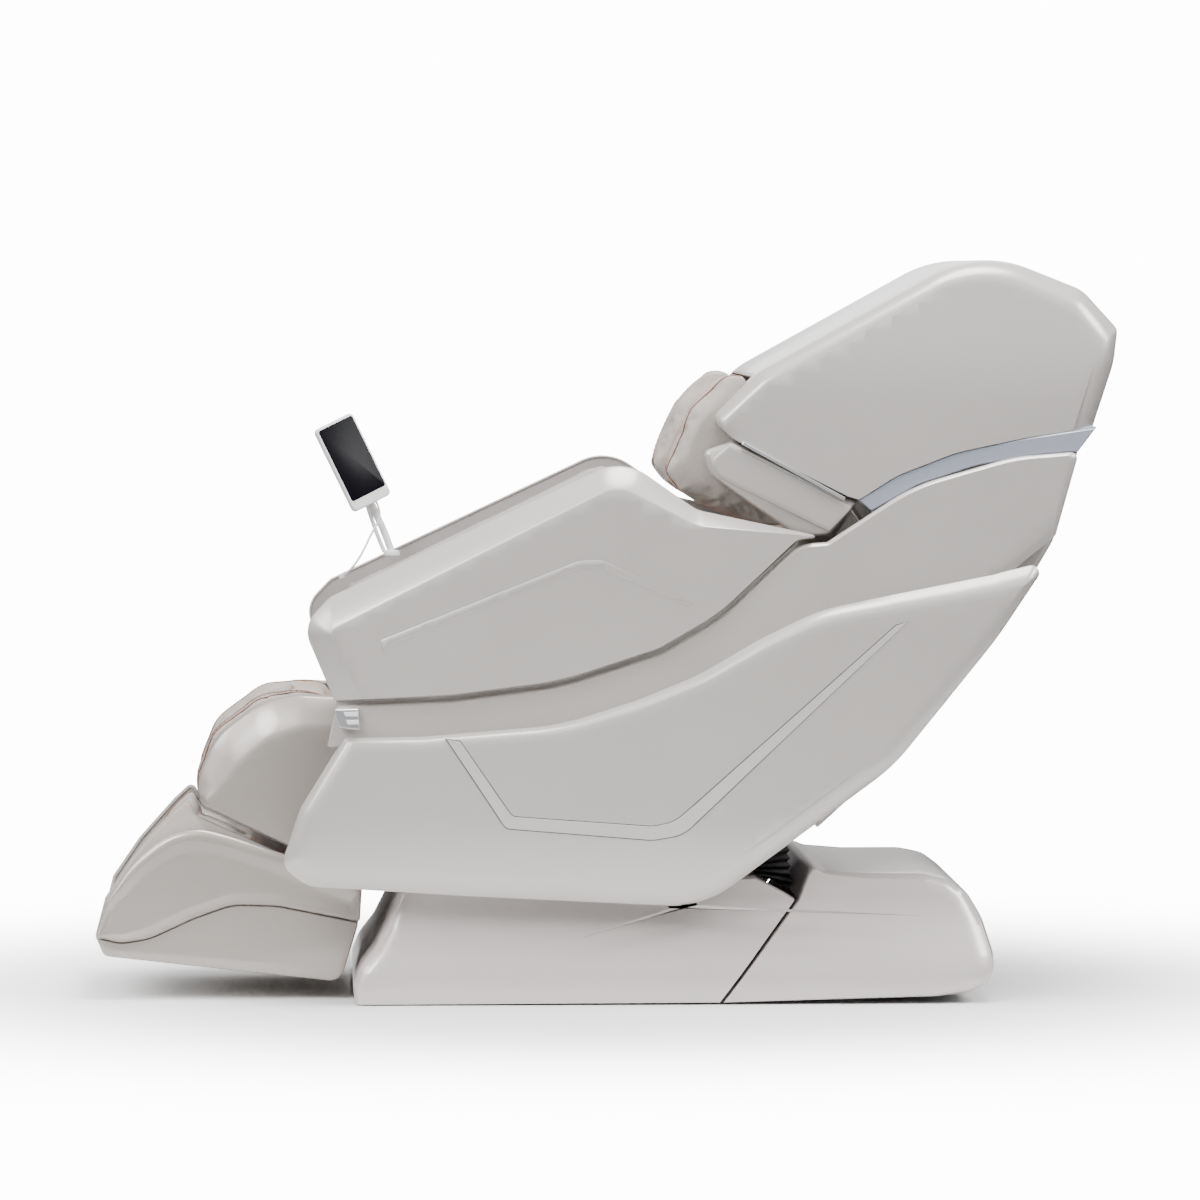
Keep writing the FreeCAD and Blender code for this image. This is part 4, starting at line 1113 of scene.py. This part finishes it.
def route_along(corners, x, step=0.008):
    """Evenly spread points of an open (y, z, radius) line in mm, at one x in metres."""
    points = [Vector(c[:2]) * MM for c in corners]
    result = []
    for a, b in zip(points, points[1:]):
        pieces = max(1, int((b - a).length / step))
        result.extend((x, *a.lerp(b, k / pieces)) for k in range(pieces))
    result.append((x, *points[-1]))
    return result


BACK = math.radians(58)
BACK_UP = Vector((0, math.cos(BACK), math.sin(BACK)))
BACK_OUT = Vector((0, -math.sin(BACK), math.cos(BACK)))
BACK_HINGE = Vector((0, 0.110, 0.370))
CENTRE_HALF = 0.135


class CHAIR_OT_cushions(bpy.types.Operator):
    """Seat, back, head, side and arm pads, swollen by cloth simulation"""
    bl_idname = "chair.cushions"
    bl_label = "Cushions"

    def execute(self, context):
        inner = finish("seat leather")

        def beside(x, depth=0.0045, width=0.004):
            return lambda p: abs(p.x) - x, depth, width

        bands = [(lambda p, y=y: p.y - y, 0.004, 0.005) for y in (-0.22, -0.11, 0.0)]
        seat = padded_piece("seat_cushion", "seat", inner, seams=[beside(CENTRE_HALF), *bands], rounds=5,
                            most=0.012)
        rows = [(lambda p, d=d: (p - BACK_HINGE).dot(BACK_UP) - d, 0.0045, 0.005)
                for d in (0.16, 0.28, 0.40, 0.52)]
        back = padded_piece("back_cushion", "backrest", inner, seams=[beside(CENTRE_HALF), *rows], rounds=5,
                            most=0.012)
        padded_piece("head_pillow", "backrest", inner, rounds=8, most=0.014,
                     seams=[beside(0.1, 0.004, 0.005)])
        side_pads = padded_piece("side_pads", "backrest", finish("side pad leather"), 0.005, rounds=7,
                                 most=0.010, seams=[beside(0.222, 0.004), beside(0.262, 0.004)])
        front = [(112, 806), (88, 838), (128, 942), (186, 999), (216, 1000)]
        for hand, sign in HANDS:
            for x in (0.222, 0.262, 0.292):
                piping(f"side_pad_welt_{hand}_{round(x * 1000)}", side_pads, route_along(front, sign * x),
                       "backrest")
            stitches(f"side_pad_stitches_{hand}", side_pads, route_along(front, sign * 0.2695, 0.003),
                     "backrest")
        for hand, _ in HANDS:
            padded_piece(f"arm_pad_{hand}", "seat", finish("arm leather"), most=0.006)
        seat_line = [(-334, 440), (-334, 476), (-305, 487), (72, 424)]
        low, high = (BACK_HINGE + BACK_UP * d + BACK_OUT * 0.05 for d in (0.06, 0.59))
        steps = 40
        for hand, sign in HANDS:
            piping(f"seat_welt_{hand}", seat, route_along(seat_line, sign * CENTRE_HALF), "seat")
            piping(f"back_welt_{hand}", back,
                   [(sign * CENTRE_HALF, *low.lerp(high, k / steps).yz) for k in range(steps + 1)],
                   "backrest")
        return {"FINISHED"}


class CHAIR_OT_leg_pads(bpy.types.Operator):
    """Calf and foot pads with their channels and welts"""
    bl_idname = "chair.leg_pads"
    bl_label = "Leg pads"

    def execute(self, context):
        pads = (
            ("calf", 0.007, [(-436, 490), (-482, 495), (-546, 484), (-622, 428), (-650, 360), (-653, 330)]),
            ("foot", 0.006, [(-788, 150), (-748, 224), (-694, 288), (-664, 316)]),
        )
        for part, most, line in pads:
            body = f"{part}_rest"
            pad = padded_piece(f"{part}_pad", body, finish("leg leather"), most=most)
            for hand, sign in HANDS:
                for x in (0.172, 0.190):
                    piping(f"{part}_welt_{hand}_{round(x * 1000)}", pad, route_along(line, sign * x), body)
                stitches(f"{part}_stitches_{hand}", pad, route_along(line, sign * 0.181, 0.003), body)
        return {"FINISHED"}


# ---------------------------------------------------------------- remote tablet and cord

LEAN, FACING = math.radians(26), math.radians(28)
TABLET_UP = Vector((0, -math.sin(LEAN), math.cos(LEAN)))
TABLET_FACE = Vector((math.cos(FACING), math.sin(FACING) * TABLET_UP.z, -math.sin(FACING) * TABLET_UP.y))
TABLET_ACROSS = TABLET_UP.cross(TABLET_FACE)
TABLET_SIZE = Vector((0.076, 0.150, 0.011))
POST_X = -0.257
TABLET_MIDDLE = Vector((POST_X + 0.022, -0.398, 0.841))
TABLET_PLACE = Matrix.Translation(TABLET_MIDDLE) @ Matrix(
    (TABLET_ACROSS, TABLET_UP, TABLET_FACE)).transposed().to_4x4()
CORD_EXIT = TABLET_MIDDLE - TABLET_UP * (TABLET_SIZE.y / 2 + 0.0002) + TABLET_ACROSS * 0.008
CORD_ROUTE = [CORD_EXIT, CORD_EXIT - TABLET_UP * 0.024] + [Vector(spot) for spot in (
    (-0.235, -0.366, 0.726), (-0.226, -0.378, 0.700), (-0.220, -0.392, 0.676), (-0.226, -0.407, 0.659),
    (-0.2445, -0.414, 0.653))]
CORD_WIDTH = 0.004
SHARP = 0.9


def rounded_block(name, size, place, material, edge, corner=0.0, centre=(0, 0, 0)):
    """A block with rounded upright corners and softened edges, put in place in its mesh."""
    bm = bmesh.new()
    bmesh.ops.create_cube(bm, size=1.0)
    bmesh.ops.scale(bm, vec=Vector(size), verts=bm.verts)
    if corner:
        upright = [e for e in bm.edges if abs((e.verts[0].co - e.verts[1].co).z) > size[2] * 0.9]
        bmesh.ops.bevel(bm, geom=upright, offset=corner, affect="EDGES", segments=6, profile=0.5, material=-1)
    rim = [e for e in bm.edges if e.calc_face_angle(0) > SHARP]
    bmesh.ops.bevel(bm, geom=rim, offset=edge, affect="EDGES", segments=3, profile=0.5, material=-1)
    bmesh.ops.translate(bm, vec=Vector(centre), verts=bm.verts)
    bmesh.ops.transform(bm, matrix=place, verts=bm.verts)
    return new_object(name, bm, material, angle=40.0)


def mesh_of(piece, name, material):
    """A new mesh object with the shape that a curve draws."""
    bpy.context.view_layer.update()
    shape = bpy.data.meshes.new_from_object(piece.evaluated_get(bpy.context.evaluated_depsgraph_get()))
    shape.name = name
    shape.materials.clear()
    shape.materials.append(material)
    return add_object(name, shape)


class CHAIR_OT_tablet(bpy.types.Operator):
    """Remote tablet with its cradle, forked stand and white cord"""
    bl_idname = "chair.tablet"
    bl_label = "Tablet"

    def execute(self, context):
        white = finish("white plastic")
        line = tube("cord_line", CORD_ROUTE, CORD_WIDTH / 2, white)
        cord = mesh_of(line, "tablet_cord", white)
        line.data.bevel_depth = 0.0
        middle_line = mesh_of(line, "cord_middle", white)
        for spare in (line, middle_line):
            bpy.data.objects.remove(spare)
        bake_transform(cord)
        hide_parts("tablet_cord")
        wide, tall, thick = TABLET_SIZE
        case = rounded_block("tablet_case", (wide, tall, thick), TABLET_PLACE, white, 0.0022, 0.008)
        screen = rounded_block("tablet_screen", (wide - 0.007, tall - 0.022, 0.0014), TABLET_PLACE,
                               finish("screen"), 0.0004, 0.004, (0, 0.0065, thick / 2 + 0.0001))
        cradle = rounded_block("tablet_cradle", (0.052, 0.084, 0.008), TABLET_PLACE, white, 0.002, 0.01,
                               (0, -0.012, -thick / 2 - 0.0042))
        foot = Vector((POST_X, -0.333, 0.687))
        knuckle = Vector((POST_X - 0.006, -0.376, 0.796))

        def bar(name, radius, *spots):
            """A bar through points that are a share of the way up the arm, each with its own shift."""
            points = [foot.lerp(knuckle, share) + Vector(shift) for share, shift in spots]
            return tube(name, points, radius, white)

        stalk = bar("tablet_stalk", 0.006, (0, (0, 0, 0.004)), (0.35, (0, 0.004, 0)), (0.7, (0, 0, 0)),
                    (1, (0, 0, 0)))
        brace = bar("tablet_brace", 0.0035, (0, (0, -0.012, 0.006)), (0.4, (0, -0.012, 0)),
                    (0.9, (0.002, -0.006, 0)))
        disc_mesh = bmesh.new()
        bmesh.ops.create_cone(disc_mesh, cap_ends=True, segments=48, radius1=0.014, radius2=0.0125,
                              depth=0.009)
        rim = [e for e in disc_mesh.edges if e.calc_face_angle(0) > SHARP]
        bmesh.ops.bevel(disc_mesh, geom=rim, offset=0.0015, affect="EDGES", segments=3, profile=0.5,
                        material=-1)
        bmesh.ops.translate(disc_mesh, vec=foot + Vector((0, 0, 0.0045)), verts=disc_mesh.verts)
        disc = new_object("tablet_foot", disc_mesh, white, angle=40.0)
        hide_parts("tablet")
        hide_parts("tablet_cradle")
        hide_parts("tablet_post")
        for piece in (case, screen, cradle, stalk, brace, disc):
            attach(piece, "tablet_stand")
        collar_mesh = bmesh.new()
        bmesh.ops.create_cone(collar_mesh, cap_ends=True, segments=32, radius1=0.0048, radius2=0.0032,
                              depth=0.008)
        way = (CORD_ROUTE[-2] - CORD_ROUTE[-1]).to_track_quat("Z", "Y").to_matrix().to_4x4()
        spot = CORD_ROUTE[-1] + Vector((0.002, 0, 0))
        bmesh.ops.transform(collar_mesh, matrix=Matrix.Translation(spot) @ way, verts=collar_mesh.verts)
        collar = new_object("cord_collar", collar_mesh, white, angle=40.0)
        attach(collar, "seat")
        return {"FINISHED"}


NODE_FINISHES = {
    "pearl shell": ["rear_lower_cover"],
    "black rubber": ["levelling_feet", "transport_wheels"],
    "frame paint": ["base_rails", "base_cross_tubes", "support_brackets", "rocker_rails", "seat_cross_tubes",
                    "seat_side_plates", "back_rails", "back_cross_beams", "massage_carriage", "massage_arms"],
    "ground steel": ["front_support_rollers", "rear_support_rollers", "wheel_axle", "tilt_actuator_rod",
                     "leg_actuator_rod", "back_hinge_pin", "leg_hinge_pin", "lift_screw", "foot_slide_rods"],
    "black plastic": ["control_box", "air_pump", "tilt_actuator_body", "leg_actuator_body", "carriage_motors",
                      "power_inlet", "power_switch", "foot_roller_front", "foot_roller_rear",
                      "massage_rollers_upper", "massage_rollers_lower"],
    "plywood": ["seat_board"],
}


class CHAIR_OT_frame_finishes(bpy.types.Operator):
    """Finishes of the frame, the mechanism and the electrics"""
    bl_idname = "chair.frame_finishes"
    bl_label = "Frame finishes"

    def execute(self, context):
        for name, nodes in NODE_FINISHES.items():
            for node in nodes:
                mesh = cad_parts[node].data
                mesh.materials.clear()
                mesh.materials.append(finish(name))
        return {"FINISHED"}


OPERATORS = [CHAIR_OT_stage, CHAIR_OT_tablet, CHAIR_OT_side_shells, CHAIR_OT_arm_panels, CHAIR_OT_hood,
             CHAIR_OT_base, CHAIR_OT_dust_boot, CHAIR_OT_leg_shells, CHAIR_OT_cushions, CHAIR_OT_leg_pads,
             CHAIR_OT_frame_finishes]


class CHAIR_PT_pieces(bpy.types.Panel):
    """Buttons that build the chair group by group"""
    bl_label = "Massage chair"
    bl_idname = "CHAIR_PT_pieces"
    bl_space_type = "VIEW_3D"
    bl_region_type = "UI"
    bl_category = "Chair"

    def draw(self, context):
        for owner in (context.scene.chair_sizes, context.scene.chair_colours):
            for label in owner.bl_rna.properties.keys():
                if label not in ("rna_type", "name"):
                    self.layout.prop(owner, label)
        for operator in OPERATORS:
            self.layout.operator(operator.bl_idname)


CLASSES = [ChairSizes, ChairColours, *OPERATORS, CHAIR_PT_pieces]


def register():
    for item in CLASSES:
        bpy.utils.register_class(item)
    bpy.types.Scene.chair_sizes = bpy.props.PointerProperty(type=ChairSizes)
    bpy.types.Scene.chair_colours = bpy.props.PointerProperty(type=ChairColours)


def unregister():
    del bpy.types.Scene.chair_colours
    del bpy.types.Scene.chair_sizes
    for item in reversed(CLASSES):
        bpy.utils.unregister_class(item)


def main():
    register()
    for operator in OPERATORS:
        group, name = operator.bl_idname.split(".")
        getattr(getattr(bpy.ops, group), name)()


if __name__ == "__main__":
    main()
